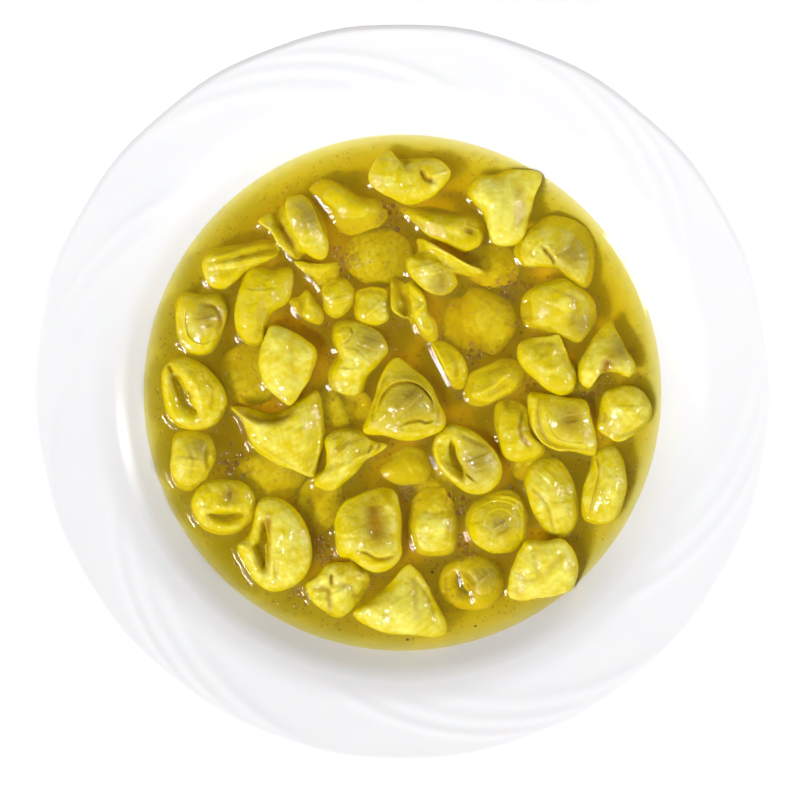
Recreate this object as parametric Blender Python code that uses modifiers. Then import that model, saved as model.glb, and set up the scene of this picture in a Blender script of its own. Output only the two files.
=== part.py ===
# Tortellini in broth, served in a wide rimmed soup plate.
# One solid for the plate, one for the broth, and one for each tortellino that stands out of the broth.
# Lengths below are in millimetres and are turned into metres where a mesh is made. +Z is up.

import math

import bmesh
import bpy
import numpy as np
from mathutils import Matrix, Vector
from mathutils.bvhtree import BVHTree

MM = 0.001
COLLECTION_NAME = "tortellini_in_broth"

# Plate, turned about +Z.
RIM_RADIUS = 115.0
RIM_HEIGHT = 37.0
LIP_THICK = 3.4
RIM_RISE_START = 34.0
MOUTH_RADIUS = 88.6
MOUTH_HEIGHT = 32.0
MOUTH_ROUNDING = 3.4
FLOOR_RADIUS = 54.0
FLOOR_HEIGHT = 5.8
WALL_CURVE = 1.6
WALL_THICK = 3.8
WALL_STEPS = 5
FOOT_RADIUS = 61.0
FOOT_WIDTH = 4.0
FOOT_RECESS = 2.3
TURN_STEPS = 32
MERGE = 0.1

# Broth.
BROTH_LEVEL = 22.5
GAP = 0.3

# Tortellini: resolution of one solid, and the space kept between neighbours.
RING_STEPS = 60
SECTION_STEPS = 36
SKIN_VOXEL = 0.7
SOLID_FACES = 106
SPINE_STEPS = 24
SHEET_HALF = 1.1
EDGE_ROUND = 0.9
OUTER_BULGE = 1.15
INNER_BULGE = 0.72
SKIN_BLEND = 2.5
THICK_SHARE = 0.62
OUTLINE_STEPS = 72
OUTLINE_REACH = 0.16
OUTLINE_SMOOTHING = (1, 2, 3)
CURVE_STEPS = 10
OUTLINE_INSET = 0.5
REFERENCE_RINGS = 90
REFERENCE_SECTIONS = 28
CLEARANCE = 0.5
POCKET_GAP = 0.5
POCKET_FLATTEN = 9.0
SHARP_ANGLE = 30.0
SETTLE_ROUNDS = 90
MOST_PUSH = 0.6
UPWARD_SHARE = (1.0, 1.0, 0.5)


def kind(ring, pouch, arm, flap, flare, fade=(0.0, 1.0), span=0.45):
    """Names the sizes of one kind of tortellino. ring: half depth and half width of the fold line.
    pouch and arm: half thickness and half height at the filling and at the pinched ends.
    flap: its height at the filling and at the ends. flare: how far it bends out there, in degrees.
    fade: how far the filling runs on into the flap, and how softly it ends."""
    return {"ring": ring, "pouch": pouch, "arm": arm, "flap": flap, "flare": flare,
            "fade": fade, "span": span}


KINDS = {
    "open": kind((3.9, 7.3), (6.0, 5.2), (2.7, 3.4), (4.0, 2.0), (30, 10), (0.0, 1.0), 0.4),
    "hat": kind((3.4, 6.4), (4.8, 5.0), (2.4, 3.4), (8.0, 4.0), (75, 50), (0.2, 1.2)),
    "leaf": kind((3.2, 7.0), (4.4, 5.6), (2.4, 3.4), (9.0, 2.0), (-10, 0), (1.6, 1.5), 0.6),
    "cap": kind((3.4, 6.6), (5.0, 5.4), (2.6, 3.6), (5.0, 2.0), (0, 0), (1.1, 1.4), 0.55),
}

# Each tortellino: kind, place right and up, height of its top above the broth, the points of its
# outline seen from above round that place, then heading of its flap, tilt of the flap from upright,
# turn and lean.
PIECES = [
    ("cap", 1.3, 69.1, 6.0,
     ((-12.5, -0.5), (-9.5, 5), (-5.5, 7.8), (-3, 4.8), (3, 4.6), (9, 4.8), (13, 2.6), (14.2, -0.5),
      (11.5, -4.5), (7, -8.2), (0, -9.5), (-6, -7.2), (-11, -4.2)), 165, 88, 15, 10),
    ("leaf", -17.2, 59.1, 1.6,
     ((-12.5, 5), (-8.5, 8.5), (-3, 7.2), (3.5, 3.2), (9.5, 2), (12.8, -1.5), (12, -5), (7, -7.8),
      (1, -9.5), (-4, -7), (-6.5, -2), (-9.5, 2)), -30, 80, 0, 0),
    ("cap", 33.4, 58.5, 6.5,
     ((-11.5, 3.5), (-9, 8.6), (-3, 10), (4, 11.8), (11.5, 10.2), (9.5, 3), (7.5, -4), (5, -10),
      (0.5, -12.8), (-4.3, -11.8), (-6.3, -6), (-8, -1.5)), 45, 90, -10, -8),
    ("hat", -33.1, 51.9, 6.0,
     ((-12, 2.2), (-7.5, 5.2), (-4, 8.6), (1, 10.2), (5.5, 8.6), (8.6, 3), (10.2, -3.5), (9, -9),
      (4, -10), (-1, -8.8), (-5.5, -5.5), (-8, -1)), 205, 110, 10, 0),
    ("leaf", 13.1, 51.9, 3.5,
     ((-13.6, 6), (-9, 6.6), (-3.5, 7), (3, 5.2), (9, 4.6), (12.5, 1.5), (13, -2.5), (10.8, -6),
      (6, -7.6), (0.5, -5.2), (-5.5, -2.6), (-9.5, 1.2)), 165, 95, 25, 20),
    ("cap", 49.7, 41.3, 4.5,
     ((-11, 1), (-9.5, 6), (-5, 10.5), (0.5, 13.2), (7, 12), (12, 8.5), (14.2, 2), (13.5, -4.5),
      (11, -9.3), (6.5, -7.5), (2, -4), (-4, -3.5), (-9, -3)), 60, 100, 0, 0),
    ("cap", 49.7, 29.4, 4.5,
     ((-13, 1), (-11.5, 5.5), (-6, 8.5), (0.5, 9.8), (5, 6.5), (9, 2.5), (10.2, -2), (8.5, -7),
      (5, -11), (0.5, -9.5), (-5, -7.5), (-11.5, -5.5)), -70, 85, 0, 0),
    ("leaf", -51.6, 41.3, 4.0,
     ((-11.5, -1), (-9, 3), (-3, 4.8), (3, 5.8), (8.5, 7), (12.5, 6), (13, 2), (8, -0.8), (3.5, -3),
      (0, -6), (-4, -8.5), (-9, -7.5)), 12, 95, -20, -10),
    ("hat", 12.2, 39.4, 5.0,
     ((-10.3, 2), (-9, 6.5), (-5.5, 8.8), (-1.5, 7.8), (3, 5.2), (8, 2.4), (12.8, -0.6), (11, -2.8),
      (6.5, -2), (5, -5), (2.5, -7.8), (-1, -8.5), (-6, -6.3), (-9.3, -2.2)), 60, 98, 0, 0),
    ("hat", -24.4, 32.6, 2.5,
     ((-10, 9.5), (-4, 9), (2.5, 8.8), (6, 4), (9.3, -0.5), (9, -4.5), (6.5, -7.8), (3, -9),
      (-0.2, -6.5), (-0.8, -2.5), (-3, 2.5), (-7.5, 6.3)), 130, 95, 0, 0),
    ("cap", -44.1, 28.5, 5.0,
     ((-9, -5), (-8.3, 1), (-6.5, 6), (-3, 10.8), (3, 10.6), (9.3, 11), (10, 5), (8.3, 0), (4, -3),
      (1.5, -8), (0.5, -12.5), (-3.5, -13), (-7.5, -9.8)), 0, 95, 0, 0),
    ("leaf", -31.3, 26.9, 2.0,
     ((0.5, 3.6), (3, 0.5), (5.5, -3.5), (4.5, -7.5), (0, -6.5), (-4, -2.5), (-6, 0.5), (-2.5, 1.5)),
     90, 90, 0, 0),
    ("cap", -9.7, 28.5, 3.0,
     ((-5.2, 0), (-4.6, 4.3), (0, 5.8), (4.8, 4.8), (5.8, 0), (5.2, -5), (2, -7), (-2.5, -6.3),
      (-5, -4)), 90, 88, 0, 0),
    ("hat", 3.8, 26.9, 3.0,
     ((-7, 6), (-5, 9.5), (-1, 8.5), (2.5, 6), (4.3, 2), (4.8, -1.5), (7, -5), (7, -10), (3.5, -11),
      (0.5, -8), (-1, -4.5), (-4.5, -3), (-7.5, 0)), 195, 100, 0, 0),
    ("cap", -62.5, 22.6, 5.0,
     ((-8.8, 2), (-8.3, 7.5), (-5.5, 9.8), (0, 8.5), (5.5, 9), (8.5, 5), (7.5, -1), (5, -6), (2.5, -9.5),
      (-1.5, -10.8), (-6, -8.5), (-8.3, -4)), 195, 105, 0, 0),
    ("leaf", 45.0, 12.9, 5.5,
     ((-9.3, 3), (-8.5, 6.8), (-4, 8.4), (0.5, 9), (4.2, 8.8), (6.8, 3.5), (9.6, -3), (8.2, -8),
      (4.5, -10.2), (0, -8.5), (-4, -5), (-7.8, -1)), 75, 92, 0, 0),
    ("leaf", 63.8, 13.2, 5.5,
     ((0.8, 10), (-3.5, 6.2), (-6.5, 1.5), (-8.8, -4), (-8, -9.5), (-5.5, -11.3), (-2, -6.8), (2.5, -6.2),
      (7, -7.4), (9.2, -3.8), (6.5, 1.5), (3.5, 6.8)), 85, 105, 0, 0),
    ("cap", -35.3, 13.2, 7.5,
     ((-4.5, 12.8), (1, 11.2), (6, 8.2), (9.2, 3.5), (8, -3.5), (5, -9), (1.5, -13.2), (-2.5, -11.3),
      (-7, -6.8), (-8.7, -1.5), (-8.2, 4), (-6.8, 9.3)), -88, 90, 0, 0),
    ("cap", -15.0, 11.6, 5.0,
     ((-7, 7.5), (-5.5, 10.6), (-1.5, 11.8), (4, 10.6), (8.5, 7.5), (10.8, 2.5), (8, -1.5), (4.5, -6),
      (1.8, -11.8), (-3.5, -12.3), (-8, -9.3), (-8.8, -4.5), (-6, 0.5), (-6.8, 4)), 235, 95, 0, 15),
    ("leaf", 15.3, 10.1, 2.0,
     ((-5.8, 6.6), (-2, 6.6), (2, 4.5), (5, 1.5), (6, -3), (4.5, -7.5), (1.5, -8), (-1, -4.5), (-3, -0.5),
      (-4.8, 3)), 200, 80, 0, 0),
    ("cap", 28.8, 4.4, 3.0,
     ((-8.8, -1.5), (-7, 3.2), (-2.5, 5.4), (2.5, 7.4), (7.5, 6.8), (10.2, 2.5), (8, -2.3), (3, -5.2),
      (-2, -7.6), (-6.5, -7), (-8.8, -4.5)), 120, 85, 0, 0),
    ("open", -65.9, 0.1, 5.0,
     ((-9.5, 6), (-7, 10), (-2.5, 11.6), (3, 9.8), (7.5, 6), (10.5, 1), (11.3, -4), (8.5, -9), (3, -11.6),
      (-3, -11.3), (-7.3, -8), (-9.3, -1.5)), 30, 172, 0, 0),
    ("cap", 0.0, -1.5, 8.4,
     ((-1.5, 13.5), (3.5, 9.8), (8.8, 5), (10.8, -0.5), (13, -6), (12, -10), (6, -12.6), (0, -13.2),
      (-6.5, -11.6), (-12.2, -9.8), (-10.7, -4), (-9, 2.5), (-7.3, 8), (-4.8, 12)), 100, 100, 0, 0),
    ("leaf", -37.5, -12.4, 7.0,
     ((-17.2, 9), (-11, 8.6), (-5, 7), (1, 8), (6, 11.5), (10, 13), (12.3, 7), (13, 0), (11.5, -7),
      (8.7, -13.2), (2.5, -11.5), (-4, -9.2), (-9.3, -4.8), (-12, 0.5), (-14, 5)), -50, 90, 0, 0),
    ("cap", 49.7, -8.7, 6.0,
     ((-10.8, 5), (-9.8, 9.4), (-4, 9.2), (2.5, 8.6), (8, 7.5), (9.8, 2.5), (10.8, -3), (10.6, -9.8),
      (4, -9.4), (-2.5, -8.6), (-7.5, -5), (-10, 0)), 225, 100, 0, 0),
    ("cap", 68.8, -5.9, 5.0,
     ((-6.8, 2), (-5, 6.8), (0, 9.3), (5.5, 8.2), (9.2, 3.5), (8.6, -2), (5, -6), (-0.5, -9.3), (-5, -7.5),
      (-8, -5), (-7.5, -1.5)), 250, 90, 0, 0),
    ("cap", 35.6, -11.8, 3.5,
     ((-6.6, 5), (-5.5, 9.6), (-0.5, 10.2), (3.2, 8), (4.3, 2.5), (6.5, -2), (9.3, -5), (6.5, -8.8),
      (1, -10.2), (-4.2, -8), (-5.8, -3)), 60, 85, 0, 0),
    ("open", 19.4, -19.3, 6.0,
     ((-10.6, 2), (-8.8, 6.8), (-4.5, 9.6), (0.5, 8.6), (5, 6), (9.5, 1.5), (11.6, -4), (10.5, -9),
      (6, -12.4), (0.5, -12), (-4.8, -8.5), (-8.8, -4)), 15, 165, 0, 0),
    ("leaf", -17.2, -19.9, 5.5,
     ((-6.8, 1.5), (-6.6, 6), (-2, 9.2), (3.5, 9.2), (7.5, 6.2), (12.5, 4), (9.5, 1.2), (6, -1),
      (3.5, -4.5), (-0.5, -7.5), (-4.5, -10.3), (-9.8, -9.3), (-10.3, -6.8), (-7.2, -3)), 15, 92, 0, 0),
    ("cap", 1.3, -21.5, 1.0,
     ((-8, -3), (-5, 2), (0, 5.5), (5.5, 4), (8, -1), (6.5, -6), (1.5, -7.5), (-4, -7)), 90, 90, 0, 0),
    ("cap", -65.9, -20.3, 3.5,
     ((-7.6, 1), (-6, 7.8), (0.5, 9.2), (5.5, 7), (7.3, 1.5), (5.5, -3.5), (2.5, -8), (-1.5, -10),
      (-5.5, -8.5), (-7.8, -4)), 0, 80, 0, 0),
    ("cap", 63.1, -28.4, 5.5,
     ((-3, 10.5), (2.5, 12.4), (6, 8.5), (7.9, 2), (7, -5), (3.5, -11), (-1.5, -13), (-5.8, -11.2),
      (-7, -5), (-5.8, 1.5), (-3.8, 6.5)), 180, 100, 0, 0),
    ("cap", 46.6, -32.4, 5.0,
     ((-8.8, 3), (-7.5, 8.6), (-3, 12.2), (2.5, 11.2), (6.3, 6), (8.3, -0.5), (8.3, -7), (5, -12.3),
      (0.5, -13), (-4, -9.5), (-7, -4)), 35, 100, 0, 0),
    ("open", -57.8, -36.2, 4.0,
     ((-10, 0), (-8.5, 5), (-3.5, 8.6), (3, 8.8), (8, 6.8), (10.5, 1.5), (9.3, -4.5), (4.5, -8.7),
      (-1.5, -9.4), (-7, -6.8)), 90, 170, 0, 0),
    ("cap", 30.3, -39.3, 4.5,
     ((-9.6, -1.5), (-7.5, 5), (-2, 8.6), (3.5, 10), (7.8, 7.3), (10, 2), (9.3, -5), (5.5, -9.8),
      (0.5, -11.2), (-4.5, -9.5), (-8.5, -6.2)), 60, 95, 0, 0),
    ("cap", 10.0, -39.9, 3.0,
     ((-7.5, 3), (-6, 8), (-1.5, 12), (2, 13.5), (5.5, 8), (7, 3), (7.8, -4), (6.5, -10), (1, -11.5),
      (-5, -10.5), (-7.8, -5)), 90, 90, 0, 0),
    ("cap", -10.3, -42.4, 7.5,
     ((-11.3, 3), (-9, 8.3), (-3, 11.8), (3.5, 13.2), (8.3, 12.2), (9.6, 6), (9.8, -1), (10.6, -7.8),
      (7.5, -12), (2.5, -14), (-2.5, -12.5), (-6, -9.3), (-9.6, -8), (-11.3, -3)), 120, 100, 0, 0),
    ("open", -39.4, -47.1, 6.5,
     ((-3, 14.8), (2.5, 13.6), (7.3, 9.3), (10.6, 3), (11.4, -4), (9, -10.5), (4, -14.3), (-1.5, -15.3),
      (-6.5, -12.8), (-10.3, -7.5), (-13, -1.2), (-9.3, 2.5), (-7.6, 7.5), (-6.3, 12.3)), 0, 170, 0, 0),
    ("cap", -20.6, -61.2, 5.5,
     ((-10, 1.2), (-6.5, 4.5), (-3, 8.3), (2, 8.8), (6.5, 7), (10.2, 3), (9.3, -2), (5.5, -6.5), (1, -10),
      (-4, -8.3), (-8, -4.5)), -60, 100, 0, 0),
    ("leaf", 0.0, -64.3, 6.5,
     ((1.8, 10.3), (5.5, 8.3), (8.8, 3), (11.5, -3), (13.8, -8.5), (12, -12.3), (4, -12.5), (-4, -12.1),
      (-10, -9.8), (-15, -5), (-9.5, -0.8), (-4.2, 4.2), (-1, 8.2)), 80, 90, 0, 0),
    ("open", 20.9, -59.6, 2.2,
     ((-9.8, -0.5), (-7.5, 5), (-2, 8), (4, 8.8), (9.3, 6), (11.3, 0.5), (9.3, -5.5), (3.5, -8.8),
      (-3.5, -8.5), (-8.3, -5.3)), 30, 165, 0, 0),
    ("cap", 44.4, -55.6, 8.5,
     ((-7, 5.5), (-4.8, 9.5), (1, 9.3), (6.5, 9.9), (9.8, 6), (11.6, -1), (10, -6.5), (5, -8.8),
      (-1, -9.5), (-6, -10.5), (-10.2, -8.8), (-10.2, -3), (-8, 2.5)), 270, 88, 0, 0),
]


def smooth(x):
    """Eases from 0 to 1: 3x^2 - 2x^3, held at both ends."""
    x = np.clip(x, 0.0, 1.0)
    return x * x * (3.0 - 2.0 * x)


def tortellino_points(spec, rings, sections):
    """Grid of points (rings x sections x 3) of one tortellino round its own ring, in millimetres.
    Round the ring goes the angle phi, 0 at the filling and 180 at the pinch. Across it, a spine
    starts at the fold line and rises as z' = cos(bend), r' = sin(bend). The skin stands off the
    spine by a half ellipse below the filling's middle, by a fading cosine above it, and by half
    the thickness of the folded sheet for the flap."""
    phi = np.linspace(-math.pi, math.pi, rings, endpoint=False)[:, None]
    away = np.abs(phi) / math.pi
    full = np.exp(-(away / spec["span"]) ** 2.2)
    wide = spec["arm"][0] + (spec["pouch"][0] - spec["arm"][0]) * full
    tall = spec["arm"][1] + (spec["pouch"][1] - spec["arm"][1]) * full
    rise = spec["flap"][1] + (spec["flap"][0] - spec["flap"][1]) * (1.0 - away) ** 1.15
    lean_out = np.cos(phi / 2.0) ** 2
    bend_end = np.radians(spec["flare"][1] + (spec["flare"][0] - spec["flare"][1]) * lean_out)
    length = 2.0 * tall + rise
    step = np.linspace(0.0, 2.0, sections, endpoint=False)[None, :]
    outside = step < 1.0
    part = 0.5 - 0.5 * np.cos(math.pi * np.where(outside, step, 2.0 - step))
    along = part * length
    grid = np.linspace(0.0, 1.0, SPINE_STEPS + 1)[None, None, :] * along[..., None]
    body = tall[..., None]
    bend = bend_end[..., None] * smooth((grid - 1.1 * body) / (rise[..., None] + 0.9 * body))
    mid_sin = 0.5 * (np.sin(bend[..., 1:]) + np.sin(bend[..., :-1]))
    mid_cos = 0.5 * (np.cos(bend[..., 1:]) + np.cos(bend[..., :-1]))
    out = mid_sin.sum(-1) * along / SPINE_STEPS
    up = mid_cos.sum(-1) * along / SPINE_STEPS - tall
    at_end = bend[..., -1]
    below = np.sqrt(np.clip(1.0 - ((along - tall) / tall) ** 2, 0.0, 1.0))
    reach = tall * (1.0 + spec["fade"][0])
    above = np.cos(0.5 * math.pi * np.clip((along - tall) / reach, 0.0, 1.0)) ** spec["fade"][1]
    skin = wide * np.where(outside, OUTER_BULGE, INNER_BULGE) * np.where(along < tall, below, above)
    near_edge = np.clip((along - (length - EDGE_ROUND)) / EDGE_ROUND, 0.0, 1.0)
    sheet = np.where(along > tall, SHEET_HALF, 0.0) * np.sqrt(np.clip(1.0 - near_edge ** 2, 0.0, 1.0))
    off = (skin ** SKIN_BLEND + sheet ** SKIN_BLEND) ** (1.0 / SKIN_BLEND)
    off = off * np.sqrt(np.clip(1.0 - near_edge ** 2, 0.0, 1.0))
    off = np.where(outside, off, -off)
    radial = out + off * np.cos(at_end)
    height = up - off * np.sin(at_end)
    deep, broad = spec["ring"]
    normal_x = np.cos(phi) / deep
    normal_y = np.sin(phi) / broad
    size = np.hypot(normal_x, normal_y)
    ring_x = deep * np.cos(phi) + normal_x / size * radial
    ring_y = broad * np.sin(phi) + normal_y / size * radial
    return np.stack([ring_x, ring_y, height], -1).reshape(-1, 3)


def ring_faces(rings, sections):
    """Quads of a closed ring of closed sections."""
    faces = []
    for i in range(rings):
        for j in range(sections):
            a = i * sections + j
            b = ((i + 1) % rings) * sections + j
            c = ((i + 1) % rings) * sections + (j + 1) % sections
            d = i * sections + (j + 1) % sections
            faces.append((a, b, c, d))
    return faces


def piece_turn(heading, tilt, turn, lean):
    """Rotation of a tortellino: flap towards heading, tilted from upright, filling on the upper side."""
    placed = Matrix.Rotation(math.radians(heading), 3, "Z") @ Matrix.Rotation(math.radians(lean), 3, "X")
    upright = Matrix.Rotation(math.radians(tilt), 3, "Y")
    filling_up = Matrix.Rotation(math.radians(180 + turn), 3, "Z")
    return placed @ upright @ filling_up


def outline_curve(entry):
    """Smooth closed curve through the points of a piece's outline, and the middle of its box.
    Between two points runs a cubic whose slope at each is half the step between its neighbours."""
    p1 = np.array(entry[4], float)
    p0 = np.roll(p1, 1, axis=0)
    p2 = np.roll(p1, -1, axis=0)
    p3 = np.roll(p1, -2, axis=0)
    t = np.linspace(0.0, 1.0, CURVE_STEPS, endpoint=False)[:, None, None]
    curve = p1 + 0.5 * t * (p2 - p0 + t * (2.0 * p0 - 5.0 * p1 + 4.0 * p2 - p3
                                           + t * (3.0 * (p1 - p2) + p3 - p0)))
    curve = curve.transpose(1, 0, 2).reshape(-1, 2)
    middle = 0.5 * (curve.min(0) + curve.max(0))
    curve = curve - middle
    size = np.hypot(curve[:, 0], curve[:, 1])[:, None]
    return curve * (1.0 - OUTLINE_INSET / size), middle


def outline_radius(curve, angle):
    """Radius of a closed curve round the origin at an angle."""
    return np.interp(angle, np.arctan2(curve[:, 1], curve[:, 0]), np.hypot(curve[:, 0], curve[:, 1]),
                     period=2.0 * math.pi)


def outline_area(curve):
    """Area inside a closed curve, from the cross products of its points."""
    after = np.roll(curve, -1, axis=0)
    return 0.5 * abs(float(np.sum(curve[:, 0] * after[:, 1] - curve[:, 1] * after[:, 0])))


def fit_outline(points, reference, curve):
    """Draws the points out or in from the middle, so that the reference points' outline from above
    becomes the wanted curve, and gives the piece its thickness."""
    steps = np.linspace(-math.pi, math.pi, OUTLINE_STEPS, endpoint=False)
    angle = np.arctan2(reference[:, 1], reference[:, 0])
    radius = np.hypot(reference[:, 0], reference[:, 1])
    apart = np.mod(angle[None, :] - steps[:, None] + math.pi, 2.0 * math.pi) - math.pi
    found = (radius[None, :] * np.exp(-(apart / OUTLINE_REACH) ** 2)).max(1)
    for shift in OUTLINE_SMOOTHING:
        found = 0.5 * found + 0.25 * (np.roll(found, shift) + np.roll(found, -shift))
    here = np.arctan2(points[:, 1], points[:, 0])
    factor = outline_radius(curve, here) / np.interp(here, steps, found, period=2.0 * math.pi)
    thick = THICK_SHARE * math.sqrt(outline_area(curve))
    rise = thick / (reference[:, 2].max() - reference[:, 2].min())
    return points * np.stack([factor, factor, np.full_like(factor, rise)], -1)


def turned_points(entry, rings, sections):
    """Turned points of one tortellino at a chosen resolution, round the middle of its outline."""
    turned = np.array(piece_turn(*entry[5:])).T
    spec = KINDS[entry[0]]
    reference = tortellino_points(spec, REFERENCE_RINGS, REFERENCE_SECTIONS) @ turned
    middle = 0.5 * (reference.min(0) + reference.max(0))
    points = tortellino_points(spec, rings, sections) @ turned - middle
    return fit_outline(points, reference - middle, outline_curve(entry)[0])


def wall_line(inset):
    """Inner line of the wall from floor to mouth, z = floor + depth * x^1.6 over its run x from 0 to 1,
    moved in from the plate by inset along its own normal."""
    run = MOUTH_RADIUS - FLOOR_RADIUS
    deep = MOUTH_HEIGHT - FLOOR_HEIGHT
    line = []
    for i in range(WALL_STEPS + 1):
        x = i / WALL_STEPS
        slope = deep * WALL_CURVE * x ** (WALL_CURVE - 1.0) / run
        size = math.hypot(1.0, slope)
        line.append((FLOOR_RADIUS + run * x - inset * slope / size,
                     FLOOR_HEIGHT + deep * x ** WALL_CURVE + inset / size))
    return line


def plate_profile():
    """Closed half section of the plate from the middle of the floor, up the wall, over the rim,
    and back below to the middle of the recess inside the foot."""
    lip = RIM_RADIUS - 0.5 * LIP_THICK
    line = [(0.0, FLOOR_HEIGHT)] + wall_line(0.0)
    line += [(MOUTH_RADIUS + 0.9, MOUTH_HEIGHT + 1.3), (MOUTH_RADIUS + MOUTH_ROUNDING, RIM_RISE_START)]
    line += [(lip, RIM_HEIGHT), (RIM_RADIUS, RIM_HEIGHT - 0.45 * LIP_THICK), (lip, RIM_HEIGHT - LIP_THICK)]
    line += [(MOUTH_RADIUS + MOUTH_ROUNDING + 1.0, RIM_RISE_START - WALL_THICK)]
    line += wall_line(-WALL_THICK)[:1:-1]
    line += [(FOOT_RADIUS + 1.0, FOOT_RECESS), (FOOT_RADIUS, 0.0), (FOOT_RADIUS - FOOT_WIDTH, 0.0)]
    line += [(FOOT_RADIUS - FOOT_WIDTH - 1.0, FOOT_RECESS), (0.0, FOOT_RECESS)]
    return line


def broth_profile():
    """Closed half section of the broth: floor, wall up to the level, and the flat top."""
    line = [(0.0, FLOOR_HEIGHT + GAP)]
    wall = wall_line(GAP)
    for (r0, z0), (r1, z1) in zip(wall, wall[1:]):
        line.append((r0, z0))
        if z1 > BROTH_LEVEL:
            part = (BROTH_LEVEL - z0) / (z1 - z0)
            line.append((r0 + (r1 - r0) * part, BROTH_LEVEL))
            break
    line.append((0.0, BROTH_LEVEL))
    return line


def turned_object(name, profile, collection, material):
    """Turns a half section, from axis to axis, about +Z with a Screw modifier."""
    mesh = bpy.data.meshes.new(name)
    points = [(r * MM, 0.0, z * MM) for r, z in profile]
    mesh.from_pydata(points, [(i, i + 1) for i in range(len(points) - 1)], [])
    item = add_object(name, mesh, collection, material)
    screw = item.modifiers.new("turn", "SCREW")
    screw.axis = "Z"
    screw.steps = TURN_STEPS
    screw.render_steps = TURN_STEPS
    screw.use_merge_vertices = True
    screw.merge_threshold = MERGE * MM
    screw.use_smooth_shade = True
    return item


def thinned_solid(entry, blanks):
    """Closed solid of one tortellino in millimetres: an even voxel skin over its folded ring, which
    also closes the pinched hole, thinned to a few faces by collapsing edges."""
    points = turned_points(entry, RING_STEPS, SECTION_STEPS)
    mesh = bpy.data.meshes.new("blank")
    mesh.from_pydata([tuple(p) for p in points * MM], [], ring_faces(RING_STEPS, SECTION_STEPS))
    blank = add_object("blank", mesh, blanks, None)
    skin = blank.modifiers.new("skin", "REMESH")
    skin.mode = "VOXEL"
    skin.voxel_size = SKIN_VOXEL * MM
    graph = bpy.context.evaluated_depsgraph_get()
    quads = len(blank.evaluated_get(graph).data.polygons)
    thin = blank.modifiers.new("thin", "DECIMATE")
    thin.ratio = SOLID_FACES / (2.0 * quads)
    thin.use_collapse_triangulate = True
    graph = bpy.context.evaluated_depsgraph_get()
    solid = bpy.data.meshes.new_from_object(blank.evaluated_get(graph))
    bpy.data.objects.remove(blank)
    points = np.array([vert.co for vert in solid.vertices]) / MM
    faces = [tuple(face.vertices) for face in solid.polygons]
    return points, faces


def finished_mesh(name, points, faces):
    """Smooth shaded mesh of a closed solid, from points in millimetres, faces turned outwards."""
    mesh = bpy.data.meshes.new(name)
    mesh.from_pydata([tuple(p) for p in points * MM], [], faces)
    work = bmesh.new()
    work.from_mesh(mesh)
    bmesh.ops.recalc_face_normals(work, faces=work.faces)
    bmesh.ops.triangulate(work, faces=work.faces)
    work.to_mesh(mesh)
    work.free()
    mesh.shade_smooth()
    return mesh


def wall_radius(height):
    """Radius of the well's inner line at a height."""
    part = np.clip((height - FLOOR_HEIGHT) / (MOUTH_HEIGHT - FLOOR_HEIGHT), 0.0, 1.0)
    return FLOOR_RADIUS + (MOUTH_RADIUS - FLOOR_RADIUS) * part ** (1.0 / WALL_CURVE)


def sample_points(points, faces):
    """Corners, middles of edges and of faces, where neighbours are tested against each other."""
    corners = points[np.array(faces)]
    edges = 0.5 * (corners + np.roll(corners, 1, axis=1))
    return np.concatenate([points, corners.mean(1), edges.reshape(-1, 3)])


def least_gap(tree, samples):
    """Least distance from a solid to samples near it, negative inside, at most the clearance."""
    least = CLEARANCE
    for point in samples:
        near, normal, _, _ = tree.find_nearest(Vector(point), 6.0)
        if near is None:
            continue
        offset = Vector(point) - near
        least = min(least, math.copysign(offset.length, offset.dot(normal)))
    return least


def push_pair(shapes, centres, i, j):
    """Moves two tortellini apart along the line between their centres, more upwards than sideways,
    by the gap that is missing between them."""
    least = CLEARANCE
    for a, b in ((i, j), (j, i)):
        samples = shapes[a]["samples"] + (centres[a] - centres[b])
        low, high = shapes[b]["box"]
        near = np.all((samples > low - 1.0) & (samples < high + 1.0), axis=1)
        least = min(least, least_gap(shapes[b]["tree"], samples[near]))
    if least >= CLEARANCE:
        return False
    way = (centres[i] - centres[j]) * np.array(UPWARD_SHARE)
    way = way / np.linalg.norm(way)
    push = way * 0.5 * min(MOST_PUSH, CLEARANCE - least + 0.02)
    centres[i] += push
    centres[j] -= push
    return True


def settle(shapes, centres):
    """Lets the tortellini push each other apart until none is closer than the clearance, and
    keeps each of them inside the well."""
    for _ in range(SETTLE_ROUNDS):
        moved = False
        for i in range(len(shapes)):
            for j in range(i + 1, len(shapes)):
                apart = np.abs(centres[i] - centres[j]) - shapes[i]["half"] - shapes[j]["half"]
                if apart.max() < CLEARANCE:
                    moved = push_pair(shapes, centres, i, j) or moved
            keep_in_well(shapes[i]["points"], centres[i])
        if not moved:
            return


def keep_in_well(points, centre):
    """Moves a tortellino up off the floor and in from the wall."""
    centre[2] += max(0.0, FLOOR_HEIGHT + CLEARANCE - (points[:, 2].min() + centre[2]))
    placed = points + centre
    radius = np.hypot(placed[:, 0], placed[:, 1])
    past = radius - (wall_radius(placed[:, 2]) - 2.0 * CLEARANCE)
    worst = int(past.argmax())
    if past[worst] > 0.0:
        centre[:2] -= placed[worst, :2] / radius[worst] * past[worst]


def shape_of(entry, blanks):
    """Everything that settling needs to know of one tortellino, and where the middle of its box starts."""
    points, faces = thinned_solid(entry, blanks)
    middle = 0.5 * (points.min(0) + points.max(0))
    points = points - middle
    place = outline_curve(entry)[1] + middle[:2] + np.array(entry[1:3])
    start = np.array([place[0], place[1], BROTH_LEVEL + entry[3] - points[:, 2].max()])
    tree = BVHTree.FromPolygons([Vector(p) for p in points], faces)
    return {"points": points, "faces": faces, "tree": tree, "half": points.max(0),
            "samples": sample_points(points, faces), "box": (points.min(0), points.max(0))}, start


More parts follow.
